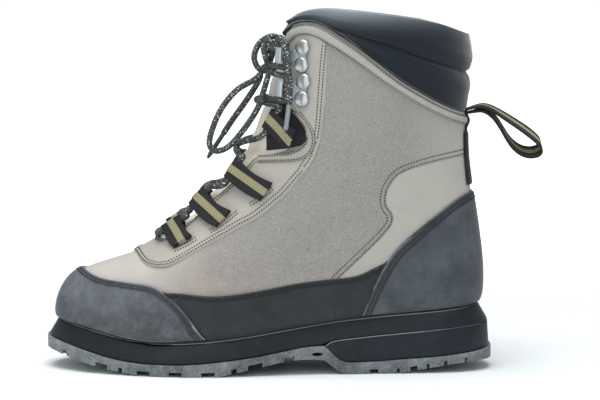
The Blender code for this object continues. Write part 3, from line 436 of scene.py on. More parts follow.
def bead(sides=6):
    """One stitch of thread: a short, low, round-ended bar along X, with its faces."""
    rings = ((-.5, .25), (-.36, .85), (0, 1), (.36, .85), (.5, .25))
    turns = [2 * math.pi * k / sides for k in range(sides)]
    verts = [(x, r * math.cos(turn), r * math.sin(turn)) for x, r in rings for turn in turns]
    faces = [(i * sides + k, (i + 1) * sides + k, (i + 1) * sides + (k + 1) % sides,
              i * sides + (k + 1) % sides) for i in range(len(rings) - 1) for k in range(sides)]
    faces.append(tuple(range(sides)))
    faces.append(tuple(reversed(range(len(verts) - sides, len(verts)))))
    return np.array(verts), [tuple(reversed(f)) for f in faces]


BEAD, BEAD_FACES = bead()


def sew(name, lines, onto, finish, length=.0012, gap=.0008, radius=.00046, sink=.0001):
    """Lays stitches along lines of points, on the surface of a piece."""
    surface = surface_of(onto)
    verts, faces = [], []
    for line in lines:
        spots = resampled(line, length + gap)
        for a, b in zip(spots, spots[1:]):
            if (b - a).length > 1.5 * (length + gap):
                continue
            along = (b - a).normalized()
            place, normal, _, _ = surface.find_nearest(a.lerp(b, .5))
            across = normal.cross(along).normalized()
            along = across.cross(normal)
            turn = np.array([along * length, across * radius, normal * radius])
            base = len(verts)
            middle = np.array(place + normal * (radius * .55 - sink))
            verts += list(BEAD @ turn + middle)
            faces += [tuple(base + i for i in f) for f in BEAD_FACES]
    piece = new_piece(name, verts, faces)
    smooth(piece)
    dress(piece, finish)


def eased(chain):
    """A border chain whose directions turn smoothly from one stretch to the next."""
    sides = softened([side for _, side in chain], 3)
    return [(p, side.normalized()) for (p, _), side in zip(chain, sides)]


def seam_lines(chains, offset, onto):
    """Lines inside a panel's border at one offset, cut where the border turns a corner."""
    surface = surface_of(onto)
    fine = [spread(eased(chain), .0008) for chain in chains]
    tree = tree_of([p for chain in fine for p, _ in chain])
    lines = []
    for chain in fine:
        line = []
        for p, inward in chain:
            place = surface.find_nearest(p + inward * offset)[0]
            if tree.find(place)[2] > .66 * offset:
                line.append(place)
            elif len(line) > 6:
                lines.append(line)
                line = []
        if len(line) > 6:
            lines.append(line)
    return [softened(line) for line in lines]


def softened(line, times=6):
    for _ in range(times):
        line = [line[0]] + [(a + b * 2 + c) / 4 for a, b, c in zip(line, line[1:], line[2:])] \
            + [line[-1]]
    return line


def dress(piece, finish, slot=None, stands_for=()):
    """Gives a finished piece its material and hangs it on the boot's one body."""
    piece.data.materials.clear()
    piece.data.materials.append(finish)
    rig.ride(piece, "root")
    if stands_for:
        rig.replaces(piece, *stands_for)
    if slot:
        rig.slot(piece, slot)


# Materials.

def tint(red, green, blue):
    """A colour as the picture shows it, made linear."""
    return tuple(((c / 255 + .055) / 1.055) ** 2.4 if c > 10 else c / 3294.6
                 for c in (red, green, blue)) + (1,)


def toned(colour, share, plus=0):
    """A colour made darker or lighter."""
    return tuple(min(1, c * share + plus) for c in colour[:3]) + (1,)


class Nodes:
    """A node tree that is being filled. Values are numbers, colours or sockets of other nodes."""

    def __init__(self, tree):
        self.tree = tree

    def fill(self, socket, value):
        if isinstance(value, bpy.types.NodeSocket):
            self.tree.links.new(value, socket)
        else:
            socket.default_value = value

    def put(self, kind, sockets=(), **settings):
        """Adds a node, sets it, and fills its sockets, by name or number."""
        node = self.tree.nodes.new(kind)
        for key, value in settings.items():
            setattr(node, key, value)
        for key, value in dict(sockets).items():
            self.fill(node.inputs[key], value)
        return node

    def math(self, operation, *values):
        return self.put("ShaderNodeMath", enumerate(values), operation=operation).outputs[0]

    def plus(self, first, second):
        return self.math("ADD", first, second)

    def minus(self, first, second):
        return self.math("SUBTRACT", first, second)

    def times(self, first, second):
        return self.math("MULTIPLY", first, second)

    def ramp(self, value, low, high, first=0.0, last=1.0):
        limits = {0: value, 1: low, 2: high, 3: first, 4: last}
        return self.put("ShaderNodeMapRange", limits).outputs[0]

    def noise(self, place, scale, detail, roughness=.5):
        return self.put("ShaderNodeTexNoise", {
            "Vector": place, "Scale": scale, "Detail": detail, "Roughness": roughness}).outputs[0]

    def axes(self, place):
        return self.put("ShaderNodeSeparateXYZ", {0: place}).outputs


class Group(Nodes):
    """A shader node group. Its inputs are numbers with a default, or None for a place."""

    def __init__(self, name, inputs, outputs):
        super().__init__(bpy.data.node_groups.new(name, "ShaderNodeTree"))
        interface = self.tree.interface
        for key, value in inputs.items():
            kind = "NodeSocketVector" if value is None else "NodeSocketFloat"
            socket = interface.new_socket(key, in_out="INPUT", socket_type=kind)
            if value is not None:
                socket.default_value = value
        for key in outputs:
            interface.new_socket(key, in_out="OUTPUT", socket_type="NodeSocketFloat")
        self.given = self.tree.nodes.new("NodeGroupInput").outputs
        self.out = self.tree.nodes.new("NodeGroupOutput").inputs


def grain_group():
    """Fine pebbled grain with slow blotches, for rubber, synthetics and foam."""
    nodes = Group("grain", {"Place": None, "Size": 1500.0}, ("Height", "Blotch"))
    place = nodes.given["Place"]
    nodes.fill(nodes.out["Height"], nodes.noise(place, nodes.given["Size"], 3.0, .6))
    nodes.fill(nodes.out["Blotch"], nodes.ramp(nodes.noise(place, 38.0, 5.0, .62), .32, .68))
    return nodes.tree


def weave_group():
    """Twill: slanting ribs over the cloth, broken where the threads cross."""
    nodes = Group("twill", {"Place": None, "Ribs": 640.0}, ("Height", "Thread"))
    turns = nodes.times(nodes.given["Ribs"], 2 * math.pi)
    x, y, z = nodes.axes(nodes.given["Place"])
    y = nodes.math("ABSOLUTE", y)
    up = nodes.minus(z, y)
    round_heel = nodes.times(nodes.ramp(x, .035, .065), nodes.minus(y, .040))
    length = nodes.minus(x, round_heel)
    rib = nodes.math("SINE", nodes.times(nodes.minus(length, nodes.times(up, .9)), turns))
    cross = nodes.math("SINE", nodes.times(nodes.plus(length, nodes.times(up, 1.7)), turns))
    height = nodes.math("MULTIPLY_ADD", rib, .24, nodes.math("MULTIPLY_ADD", cross, .20, .5))
    nodes.fill(nodes.out["Height"], height)
    fuzz = nodes.noise(nodes.given["Place"], 1000.0, 2.0)
    thread = nodes.math("MULTIPLY_ADD", fuzz, .60, nodes.times(height, .50))
    nodes.fill(nodes.out["Thread"], nodes.minus(thread, .05))
    return nodes.tree


def furrow_group():
    """A soft furrow at one distance from an edge: 1 in its middle, 0 beyond its width."""
    nodes = Group("furrow", {"Distance": 1.0, "At": .003, "Width": .0007}, ("Depth",))
    distance, at, width = (nodes.given[key] for key in ("Distance", "At", "Width"))
    off = nodes.math("DIVIDE", nodes.minus(distance, at), width)
    bell = nodes.math("POWER", math.e, nodes.times(nodes.times(off, off), -1))
    nodes.fill(nodes.out["Depth"], bell)
    return nodes.tree


def dust_group():
    """Dry dust and scuffs, more of it low down: a mask from 0 to 1."""
    nodes = Group("dust", {"Place": None, "Low": 0.0, "High": .08}, ("Mask",))
    place = nodes.given["Place"]
    low = nodes.ramp(nodes.axes(place)["Z"], nodes.given["High"], nodes.given["Low"])
    patches = nodes.ramp(nodes.noise(place, 120.0, 7.0, .7), .46, .72)
    nodes.fill(nodes.out["Mask"], nodes.times(patches, low))
    return nodes.tree


GRAIN, TWILL, FURROW, DUST = grain_group(), weave_group(), furrow_group(), dust_group()


class Finish(Nodes):
    """One material in the making: its tree, its shader and the boot's own coordinates."""

    def __init__(self, name, roughness, **sockets):
        self.material = bpy.data.materials.new(name)
        self.material.use_nodes = True
        super().__init__(self.material.node_tree)
        self.shader = self.tree.nodes["Principled BSDF"]
        for key, value in {"Roughness": roughness, **sockets}.items():
            self.set(key.replace("_", " "), value)
        self.place = self.put("ShaderNodeTexCoord").outputs["Object"]

    def set(self, socket, value):
        self.fill(self.shader.inputs[socket], value)

    def use(self, group, **sockets):
        """The outputs of a group that is placed here with its own values."""
        return self.put("ShaderNodeGroup", sockets, node_tree=group).outputs

    def grains(self, size):
        """Height of the fine grain, and the slow blotches."""
        return self.use(GRAIN, Place=self.place, Size=size)

    def read(self, attribute):
        return self.put("ShaderNodeAttribute", attribute_name=attribute).outputs["Fac"]

    def mix(self, share, first, second, blend="MIX"):
        return self.put("ShaderNodeMix", {0: share, 6: first, 7: second}, data_type="RGBA",
                        blend_type=blend).outputs[2]

    def speckled(self, base, grain, low, high):
        """A colour made darker and lighter by its grain."""
        speck = self.ramp(grain, .35, .65, low, high)
        grey = self.put("ShaderNodeCombineColor", {0: speck, 1: speck, 2: speck}).outputs[0]
        return self.mix(1.0, base, grey, "MULTIPLY")

    def uneven(self, value, middle, less, more, low=0, high=1):
        """Roughness that varies around its middle."""
        self.set("Roughness", self.ramp(value, low, high, middle - less, middle + more))

    def sewn(self, height, rows):
        """Height with a furrow under every row of stitches."""
        if rows:
            distance = self.read("edge")
        for at in rows:
            depth = self.use(FURROW, Distance=distance, At=at, Width=.0008)["Depth"]
            height = self.minus(height, self.times(depth, 1.6))
        return height

    def done(self, colour, height, depth):
        """The finished material, with its colour and its relief."""
        self.set("Base Color", colour)
        bump = self.put("ShaderNodeBump", {"Height": height, "Distance": depth, "Strength": 1.0})
        self.set("Normal", bump.outputs[0])
        return self.material


def rubber(name, dark, light, roughness, rows=(), grain=1900.0, lightening=.0008, band=0,
           depth=.00012, painted_shade_ramp=(), speckle=.13):
    """Coated rubber: mottled and grained, with a dark sewn band and polished along its edges.

    Where a shade ramp (axis, from, to, share) is given, it gets that much darker along the axis: painted shade, where
    less light falls.
    """
    finish = Finish(name, roughness, Specular_IOR_Level=.32)
    height, blotch = finish.grains(grain)
    base = finish.mix(blotch, dark, light)
    # Painted shade: darker along one axis.
    if painted_shade_ramp:
        axis, begins, ends, share = painted_shade_ramp
        along = finish.axes(finish.place)[axis]
        base = finish.mix(finish.ramp(along, begins, ends, 0, share), base, toned(dark, .5))
    base = finish.speckled(base, height, 1 - speckle, 1 + speckle)
    pale = toned(light, 1.9, .012)
    dust = finish.use(DUST, Place=finish.place, Low=.015, High=.13)["Mask"]
    base = finish.mix(finish.times(dust, .3), base, pale)
    if band:
        sewn = finish.ramp(finish.read("edge"), band - .0004, band + .0004, .5, 0)
        base = finish.mix(sewn, base, toned(dark, .34))
    if lightening:
        base = finish.mix(finish.ramp(finish.read("hem"), lightening * .4, lightening, .7, 0), base, pale)
    finish.uneven(blotch, roughness, .06, .08)
    return finish.done(base, finish.sewn(height, rows), depth)


EDGE = -.0002, .0002  # over this distance one cloth changes into the next


def synthetic(name, colour, roughness=.62, rows=(), spread_of_tone=.9, notch_shade=False,
              size=2300.0, depth=.00008, edge_shade=0):
    """Coated synthetic leather with a fine grain. Where the edge width isn't 0 its borders are painted dark, as
    painted shade of the line under a proud edge; where asked, it is painted near black inside the notch, as painted
    shade.
    """
    finish = Finish(name, roughness, Specular_IOR_Level=.35)
    height, blotch = finish.grains(size)
    base = finish.mix(blotch, toned(colour, spread_of_tone), colour)
    # Painted shade: near black inside the notch.
    if notch_shade:
        base = finish.mix(finish.ramp(finish.read("notch"), *EDGE), base, tint(30, 32, 34))
    # Painted shade: dark along the borders.
    if edge_shade:
        edge_shade_mask = finish.ramp(finish.read("hem"), edge_shade * .5, edge_shade, .75, 0)
        base = finish.mix(edge_shade_mask, base, tint(70, 66, 60))
        base = finish.speckled(base, height, .9, 1.08)
    finish.uneven(blotch, roughness, .05, .05)
    return finish.done(base, finish.sewn(height, rows), depth)


def upper_finish():
    """Twill in front of the quarter seam, smooth synthetic behind it, dark lining inside."""
    finish = Finish("upper_twill_and_synthetic", .8, Specular_IOR_Level=.3)
    twill = finish.use(TWILL, Place=finish.place)
    grain, blotch = finish.grains(2100.0)
    seam = finish.read("seam")
    behind = finish.ramp(seam, *EDGE)
    x, _, z = finish.axes(finish.place)
    vamp = finish.ramp(x, -.104, -.150)
    pale = tint(188, 185, 178)
    cloth = finish.mix(finish.ramp(twill["Thread"], .25, .8), tint(110, 108, 105),
                       tint(166, 163, 159))
    # Painted highlight: the vamp is made paler towards the toe.
    cloth = finish.mix(finish.times(vamp, .72), cloth, pale)
    # Painted light: the rear of the shaft is made paler.
    cloth = finish.mix(finish.ramp(x, .028, .066, 0, .42), cloth, pale)
    foot = finish.times(blotch, finish.ramp(z, .088, .062))
    foot = finish.times(foot, finish.ramp(x, -.045, -.075, .2, 1))
    foot = finish.times(foot, finish.ramp(x, -.150, -.118))
    cloth = finish.mix(finish.times(foot, .42), cloth, tint(168, 152, 139))
    leather = finish.mix(blotch, tint(158, 155, 149), tint(170, 167, 160))
    outside = finish.mix(behind, cloth, leather)
    outside = finish.mix(finish.times(blotch, .12), outside, tint(120, 113, 105))
    dust = finish.use(DUST, Place=finish.place, Low=.03, High=.11)["Mask"]
    outside = finish.mix(finish.times(dust, .22), outside, tint(214, 208, 198))
    # Painted shade: near black where the upper shows close beside the overlays and the midsole, and inside the notch.
    shade = finish.math("MAXIMUM", finish.ramp(finish.read("under"), .0012, .0018, 1, 0),
                        finish.ramp(finish.read("notch"), *EDGE))
    outside = finish.mix(shade, outside, tint(34, 36, 38))
    lining = finish.ramp(finish.read("lining"), .45, .55)
    ribs = finish.times(twill["Height"], finish.minus(1.0, behind))
    ribs = finish.times(ribs, finish.ramp(vamp, 0, 1, 1, .4))
    height = finish.plus(ribs, finish.times(grain, finish.times(behind, .5)))
    furrow = finish.use(FURROW, Distance=seam, At=0.0, Width=.0010)["Depth"]
    height = finish.plus(finish.minus(height, finish.times(furrow, .6)),
                         finish.ramp(seam, -.0004, .0004, 0, 3.0))
    return finish.done(finish.mix(lining, outside, tint(70, 72, 76)), height, .00013)


def knit(name, dark, light, ribs=620.0, depth=.00018, painted_top_light=None, sheen=.9):
    """Stretch fabric over foam, with a fine knit; where a top colour is given, painted lighter towards its top:
    painted light from above.
    """
    finish = Finish(name, .8, Specular_IOR_Level=.3, Sheen_Weight=sheen, Sheen_Roughness=.38)
    height, thread = finish.use(TWILL, Place=finish.place, Ribs=ribs)
    blotch = finish.grains(1300.0)["Blotch"]
    share = finish.math("MULTIPLY_ADD", thread, .7, finish.times(blotch, .3))
    base = finish.mix(finish.ramp(share, .1, .9), dark, light)
    # Painted light: the top of the roll, most of all at its front, is mixed towards the paler colour.
    if painted_top_light:
        x, _, z = finish.axes(finish.place)
        lightening = finish.math("POWER", finish.ramp(z, .222, .2495), 4)
        lightening = finish.times(lightening, finish.ramp(share, 0, 1, .5, 1))
        lightening = finish.times(lightening, finish.ramp(x, -.042, -.010, .3, 1))
        base = finish.mix(lightening, base, painted_top_light)
    return finish.done(base, height, depth)


def webbing(name, ground, stripe, half_stripe, rib=.0013):
    """Woven tape with a coloured stripe along its middle, in a herringbone of slanting ribs."""
    finish = Finish(name, .78, Specular_IOR_Level=.3)
    across = finish.read("across")
    zigzag = finish.math("ABSOLUTE", finish.minus(finish.math("PINGPONG", across, rib), rib / 2))
    slant = finish.plus(finish.read("along"), zigzag)
    weave = finish.math("SINE", finish.times(slant, 2 * math.pi / rib))
    weave = finish.math("MULTIPLY_ADD", weave, .5, .5)
    middle = finish.ramp(finish.math("ABSOLUTE", across), half_stripe - .0002,
                         half_stripe + .0002, 1, 0)
    base = finish.mix(middle, ground, stripe)
    return finish.done(finish.mix(finish.times(weave, .6), base, toned(ground, .5)), weave, .0003)


def braid(name, ground, fleck, turns=3):
    """Round braided lace, dark with light flecks, on the cord's own map."""
    finish = Finish(name, .7, Specular_IOR_Level=.35)
    along, around, _ = finish.axes(finish.put("ShaderNodeUVMap", uv_map="cord").outputs[0])
    left, right = (finish.math("SINE", finish.times(way(along, around), 2 * math.pi * turns))
                   for way in (finish.plus, finish.minus))
    strands = finish.math("MULTIPLY_ADD", finish.math("MAXIMUM", left, right), .5, .5)
    cells = finish.put("ShaderNodeTexVoronoi", {"Vector": finish.place, "Scale": 1350.0})
    tone = finish.put("ShaderNodeSeparateColor", {0: cells.outputs["Color"]}).outputs[0]
    flecks = finish.times(finish.ramp(tone, .90, .925), finish.ramp(strands, .35, .6))
    base = finish.mix(strands, toned(ground, .45), ground)
    return finish.done(finish.mix(flecks, base, fleck), strands, .0004)


def metal(name, colour, roughness, size=900.0):
    """Coated metal, slightly rubbed."""
    finish = Finish(name, roughness, Metallic=.85)
    height, blotch = finish.grains(size)
    finish.uneven(height, roughness, .05, .08, .3, .7)
    rubbed = finish.mix(finish.times(blotch, .12), colour, toned(colour, 2.6, .05))
    return finish.done(rubbed, height, .000003)


def plain(name, colour, roughness, **sockets):
    """Thread, tips and other small trim: one colour, slightly varied."""
    finish = Finish(name, roughness, **sockets)
    height = finish.grains(2500.0)["Height"]
    return finish.done(finish.mix(height, toned(colour, .75), colour), height, .00004)


CAP_ROWS, COUNTER_ROWS, FACING_ROWS = (.0024, .0045), (.0022, .0046), (.0016, .0043)
RAND_ROWS, TRIM_ROWS = (.0011, .0030), (.0013,)
# The toe cap is painted darker towards its bottom: painted shade under the light from above.
cap_rubber = rubber("cap_rubber", tint(66, 71, 77), tint(104, 109, 114), .5, CAP_ROWS, band=.0055,
                    painted_shade_ramp=("Z", .055, .035, .62))
counter_rubber = rubber("counter_rubber", tint(49, 55, 61), tint(75, 81, 86), .5, COUNTER_ROWS,
                        band=.0060)
rand_rubber = rubber("rand_rubber", tint(24, 29, 31), tint(38, 43, 46), .55, RAND_ROWS, band=.0042)
midsole_black = rubber("midsole_black", tint(8, 15, 21), tint(18, 27, 34), .5, lightening=0)
wedge_black = rubber("wedge_black", tint(8, 16, 25), tint(18, 29, 39), .5, lightening=0)
# The outsole is painted darker from the toe back to the heel: painted shade, the toe being lit more.
outsole_grey = rubber("outsole_grey", tint(80, 85, 88), tint(134, 139, 142), .75, grain=900.0,
                      lightening=0, depth=.0004, speckle=.34, painted_shade_ramp=("X", -.195, -.060, .26))
# The facing and the tongue are painted near black inside the notch: painted shade in the opening.
facing_synthetic = synthetic("facing_synthetic", tint(163, 160, 152), .6, FACING_ROWS,
                             notch_shade=True)
# The bindings are painted dark along their borders: painted shade of the line under them.
binding_synthetic = synthetic("binding_synthetic", tint(158, 157, 152), .85, TRIM_ROWS,
                              size=1100.0, depth=.00018, edge_shade=.0007)
notch_synthetic = synthetic("notch_synthetic", tint(154, 151, 144), .8, TRIM_ROWS,
                            size=1100.0, depth=.00018, edge_shade=.0007)
backstay_tape = knit("backstay_tape", tint(10, 12, 14), tint(24, 27, 31), 900.0, sheen=.1)
tongue_synthetic = synthetic("tongue_synthetic", tint(224, 217, 204), .68, (), .86, True)
# The cuff's top gets painted light from above.
cuff_knit = knit("cuff_knit", tint(3, 12, 21), tint(12, 25, 36), 1100.0, .00008,
                 painted_top_light=tint(152, 166, 173), sheen=.6)
lining_knit = knit("insole_cloth", tint(52, 54, 58), tint(78, 80, 84), 500.0)
tape_khaki = webbing("tape_khaki", tint(34, 36, 39), tint(168, 162, 128), .0026)
lace_braid = braid("lace_braid", tint(62, 68, 66), tint(184, 189, 184))
hook_metal = metal("hook_metal", tint(156, 164, 169), .40)
rivet_metal = metal("rivet_metal", tint(160, 165, 166), .30, 120.0)
thread_dark = plain("thread_dark", tint(17, 19, 22), .7)
thread_brown = plain("thread_brown", tint(74, 69, 62), .8)
mould_line = plain("mould_line", tint(124, 130, 134), .6)
tip_clear = plain("tip_clear", tint(116, 128, 134), .18, Coat_Weight=.6)
tip_dark = plain("tip_dark", tint(60, 62, 62), .35)
upper_cloth = upper_finish()


# Panels on the upper, each with its stitches.

def not_bottom(p, inward):
    return inward.z < .2 and abs(inward.dot(away(p))) < .85


def pressed(places, hem, depth):
    """Sewing presses a panel's border down into what carries it."""
    return places - outward(places) * (depth * np.exp(-(hem / .0012) ** 2))[:, None]


def tucked(places, others, reach=.0050, within=.0065, depth=.0012):
    """Draws a panel's ends on along the boot, under the panels that lie next to it."""
    for other, way in others:
        surface = surface_of(other)
        for i, p in enumerate(places):
            near, _, _, distance = surface.find_nearest(Vector(p), within)
            if near:
                drawn = Vector((way * reach, 0, 0)) - away(Vector(p)) * depth
                places[i] += np.array(drawn) * (1 - distance / within)
    return places


def lower_corner(places):
    """Lets the rand's top front corner end under the toe cap's border."""
    x, _, z = places.T
    z -= .0034 * gently((-.1285 - x) / .010) * gently((z - .040) / .012)
    return places


def reach_binding(places):
    """Draws the facing's top on under the binding."""
    share = gently((places[:, 2] - .206) / .014)
    return places - outward(places) * (.0009 * share ** 2)[:, None] \
        + np.outer(share, (0, 0, .0046))


def widen_tape(places, share=1.45, lift=.0007):
    """Lets the tape up the back seam lie wider and a little prouder on the upper."""
    surface = surface_of(frame["nodes"]["upper"])
    for i, (x, y, z) in enumerate(places):
        before, after = (from_behind(surface, across, z) for across in (y, y * share))
        if before and after:
            places[i] = (x + after.x - before.x + lift, y * share, z)
    return places


def round_toe(places):
    """Fills the toe cap's front out a little, and lowers its far top border."""
    x, y, z = places.T
    share = gently((-.172 - x) / .030) * np.exp(-((z - .045) / .017) ** 2)
    places += outward(places) * (.0019 * share)[:, None]
    share = gently(y / .012) * gently((-.176 - x) / .010) * gently((z - .058) / .008)
    return places - np.outer(share, (.0013, 0, .0019))


def panel(node, finish, rows, thread, slot, keep=not_bottom, under=(), press=.0007, shape=None):
    """One sewn panel: smoothed, with its distance from the border noted and its rows sewn."""
    piece = start_from(node, node + "_skin")
    if shape:
        move_points(piece, shape(points_of(piece)))
    chains = rims(piece, keep)
    borders = {"edge": chains, "hem": rims(piece)}
    round_off(piece, .00035, 2)
    for name, lines in borders.items():
        border = [p for chain in lines for p, _ in spread(chain, .0006)]
        apart = distances(points_of(piece), border) if border else np.ones(len(points_of(piece)))
        note(piece, name, apart)
    move_points(piece, tucked(pressed(points_of(piece), apart, press), under))
    dress(piece, finish, slot, (node,))
    if rows and chains:
        lines = [line for at in rows for line in seam_lines(chains, at, piece)]
        sew(node + "_stitches", lines, piece, thread)
    return piece


def notch_depth(places):
    """How far each point lies inside the notch at the top loop, seen from the side; inside it the panels are painted
    near black, as painted shade in the opening.
    """
    ring = np.array([seen(*p) for p in NOTCH])
    return signed_depth(places[:, [0, 2]], ring, np.vstack([ring, ring[:1]]))


def inside(points, ring):
    """Which points lie inside a closed ring, both flat."""
    hit = np.zeros(len(points), bool)
    for (x0, y0), (x1, y1) in zip(ring, np.roll(ring, -1, 0)):
        crosses = (points[:, 1] < y0) != (points[:, 1] < y1)
        at = x0 + (points[:, 1] - y0) * (x1 - x0) / (y1 - y0 if y1 != y0 else 1)
        hit ^= crosses & (points[:, 0] < at)
    return hit


def signed_depth(points, ring, line):
    """Distance of flat points from a line, positive inside a ring."""
    near = np.full(len(points), 1.0)
    for a, b in zip(line, line[1:]):
        t = np.clip(((points - a) @ (b - a)) / max((b - a) @ (b - a), 1e-12), 0, 1)
        near = np.minimum(near, np.linalg.norm(points - (a + t[:, None] * (b - a)), axis=1))
    return np.where(inside(points, ring), near, -near)


NOTCH = ((266, 151), (288, 148), (301, 145), (309, 137), (305, 126), (297, 113),
         (286, 102), (278, 103), (270, 114), (266, 130))  # in picture points
toe_cap = panel("toe_cap", cap_rubber, CAP_ROWS, thread_dark, "cap_rubber", shape=round_toe,
                press=.0011)
counter = panel("heel_counter", counter_rubber, COUNTER_ROWS, thread_dark, "counter_rubber")
rands = [panel("rand_" + side, rand_rubber, RAND_ROWS, thread_dark, "rand_rubber",
               keep=lambda p, inward: inward.z < -.3, under=((toe_cap, -1), (counter, 1)),
               shape=lower_corner) for side in SIDES]
for side in SIDES:
    panel("notch_binding_" + side, notch_synthetic, TRIM_ROWS, thread_brown, "notch_binding",
          keep=whole)
facing = panel("facing", facing_synthetic, FACING_ROWS, thread_brown, "facing_synthetic",
               keep=lambda p, inward: p.z < .217 or abs(inward.z) < .5, press=.0013,
               shape=reach_binding)
note(facing, "notch", notch_depth(points_of(facing)))
binding = panel("top_binding", binding_synthetic, TRIM_ROWS, thread_brown, "binding_synthetic",
                keep=whole)
panel("backstay", backstay_tape, (), thread_dark, "backstay_web", shape=widen_tape)


# Upper: twill quarters and vamp, with the quarter seam and its two rows.

QUARTER_SEAM = (  # share of length, share of height
    (.945, .597), (.929, .593), (.900, .587), (.870, .580), (.829, .567), (.787, .546),
    (.763, .505), (.761, .465), (.774, .440), (.774, .415), (.760, .390), (.743, .367),
    (.702, .318), (.658, .266), (.640, .240))
upper = rounded("upper", "_skin", .0005, 2)
places, _, out = faced(upper)
note(upper, "lining", out < 0)

seam = curved([((share - HEEL_REST) * SOLE_LENGTH, height * BOOT_HEIGHT, 0)
               for share, height in QUARTER_SEAM], steps=10)
flat_seam = np.array([(p.x, p.y) for p in seam])
outline = np.vstack([flat_seam, [(-.03, -.05), (.2, -.05), (.2, flat_seam[0, 1])]])
note(upper, "seam", signed_depth(places[:, [0, 2]], outline, flat_seam[::3]))
note(upper, "notch", notch_depth(places))
# How near each point of the upper lies to the overlays and the midsole, for the painted shade between the parts.
overlays = [surface_of(o) for o in (toe_cap, counter, *rands, frame["nodes"]["midsole"])]
nearness = np.array([[tree.find_nearest(p, .02)[3] or .02 for tree in overlays] for p in places])
note(upper, "under", np.minimum(np.sort(nearness, axis=1)[:, 1], nearness[:, -1] * .25))
dress(upper, upper_cloth, "upper_twill", ("upper",))

surface = surface_of(upper)
rows = []
for way in (1, -1):
    for shift in (-.0012, -.0042):
        hits = []
        for a, b in zip(seam, seam[1:]):
            across = Vector((-(b - a).y, (b - a).x, 0)).normalized() * shift
            middle = (a + b) / 2 + across
            hits.append(from_side(surface, middle.x, middle.y, way))
        rows.append([hit for hit in hits if hit])
sew("quarter_stitches", rows, upper, thread_brown)

LOOP_ROWS = (((174, 251), (187, 245), (198, 238)), ((210, 232), (226, 222), (240, 210)),
             ((250, 205), (263, 197), (275, 187)))  # in picture points
surface = surface_of(facing)
rows = []
for way in (1, -1):
    for points in LOOP_ROWS:
        for shift in (0, 2.8):
            flat_line = [Vector((*seen(x - shift * .5, y - shift * .85), 0)) for x, y in points]
            hits = [from_side(surface, p.x, p.y, way) for p in curved(flat_line)]
            rows.append([hit for hit in hits if hit])
sew("loop_stitches", [row for row in rows if len(row) > 2], facing, thread_brown)


# Tongue, cuff and footbed.

CROSSINGS = (.092, .108, .127, .152, .187, .209, .224)  # heights at which the laces press it
tongue = rounded("tongue", "_skin", .0011, 3)
places, ways, out = faced(tongue)
_, y, z = places.T
level = np.interp(z, CROSSINGS, range(len(CROSSINGS)))
puff = np.abs(np.sin(level * math.pi)) ** .7 * (z > CROSSINGS[0]) * (z < CROSSINGS[-1])
fold = .35 * np.sin(y * 420 + 40 * z) * np.sin(z * 150)
puff *= (1 + fold) * np.clip(out * 2, 0, 1)
move_points(tongue, places + ways * (.0017 * puff)[:, None])
note(tongue, "notch", notch_depth(points_of(tongue)))
dress(tongue, tongue_synthetic, "tongue_synthetic", ("tongue",))
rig.padded(tongue, fill=.4)

CUFF_SEAM = [seen(*p) for p in (  # between the two rolls, in picture points
    (318, 25), (335, 30), (352, 33.3), (368, 39), (385, 44), (402, 50), (418, 56.7), (435, 61.7),
    (452, 66.7), (467, 72.5))]
cuff = rounded("cuff", "_skin", .0020, 3)
places, ways, out = faced(cuff)
x, _, z = places.T
seam_x, seam_z = np.array(CUFF_SEAM).T
above = z - np.interp(x, seam_x, seam_z)
fade = np.clip((x - seam_x[0]) / .050, 0, 1) * np.clip(out * 2.5, 0, 1)
trough = -.0024 * np.exp(-(above / .0014) ** 2)
rolls = .0013 * np.exp(-((np.abs(above) - .0085) / .0055) ** 2)
places += ways * ((trough + rolls) * fade)[:, None]
tip = gently((-.0445 - x) / .0085)  # its front ends run down before the binding
low = tip * gently((.2415 - z) / .004)
places -= np.outer(low, (.0022, 0, .0046)) + np.outer(tip, (0, 0, .0010))
move_points(cuff, places)
dress(cuff, cuff_knit, "cuff_mesh", ("cuff",))
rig.padded(cuff, fill=.8)

insole = rounded("insole", "_skin", .0008, 1)
dress(insole, lining_knit, "insole_foam", ("insole",))


LACE_R = .0021
TUBE_STEP, THIN = .0016, .62  # distance of a cord's rings, share of its radius where it is thin


def tube(name, points, radius, sides=14, steps=6, narrow=0):
    """A round cord along a smooth line, with closed ends and a map for its braid.

    Where narrow isn't 0, the last stretch of that length is thinner, as a bound lace end is.
    """
    line = resampled(curved(points, steps=steps), TUBE_STEP)
    up, travelled = Vector((0, 1, 0)), 0
    rows, faces, uvs, corner_map = [], [], [], []
    for i, p in enumerate(line):
        ahead = (line[min(i + 1, len(line) - 1)] - line[max(i - 1, 0)]).normalized()
        if abs(ahead.dot(up)) > .98:
            up = Vector((1, 0, 0))
        wide = ahead.cross(up).normalized()
        up = wide.cross(ahead).normalized()
        if i:
            travelled += (p - line[i - 1]).length
        shrink = THIN if i in (0, len(line) - 1) else 1
        if (len(line) - 1 - i) * TUBE_STEP < narrow:
            shrink *= THIN
        rows.append([p + (wide * math.cos(2 * math.pi * k / sides)
                          + up * math.sin(2 * math.pi * k / sides)) * radius * shrink
                     for k in range(sides)])
        uvs.append(travelled / (math.pi * radius))
    for i in range(len(rows) - 1):
        for k in range(sides):
            j = (k + 1) % sides
            faces.append((i * sides + k, i * sides + j, (i + 1) * sides + j, (i + 1) * sides + k))
            corner_map += [(uvs[i], k / sides), (uvs[i], (k + 1) / sides),
                           (uvs[i + 1], (k + 1) / sides), (uvs[i + 1], k / sides)]
    last = (len(rows) - 1) * sides
    faces += [tuple(reversed(range(sides))), tuple(range(last, last + sides))]
    corner_map += [(0, k / sides) for k in range(sides)] * 2
    piece = new_piece(name, [v for row in rows for v in row], faces)
    layer = piece.data.uv_layers.new(name="cord")
    layer.data.foreach_set("uv", np.array(corner_map, np.float32).ravel())
    in_edit_mode(piece, (bpy.ops.mesh.normals_make_consistent, {"inside": False}))
    bpy.ops.object.shade_smooth()
    return piece, line


# Sole.

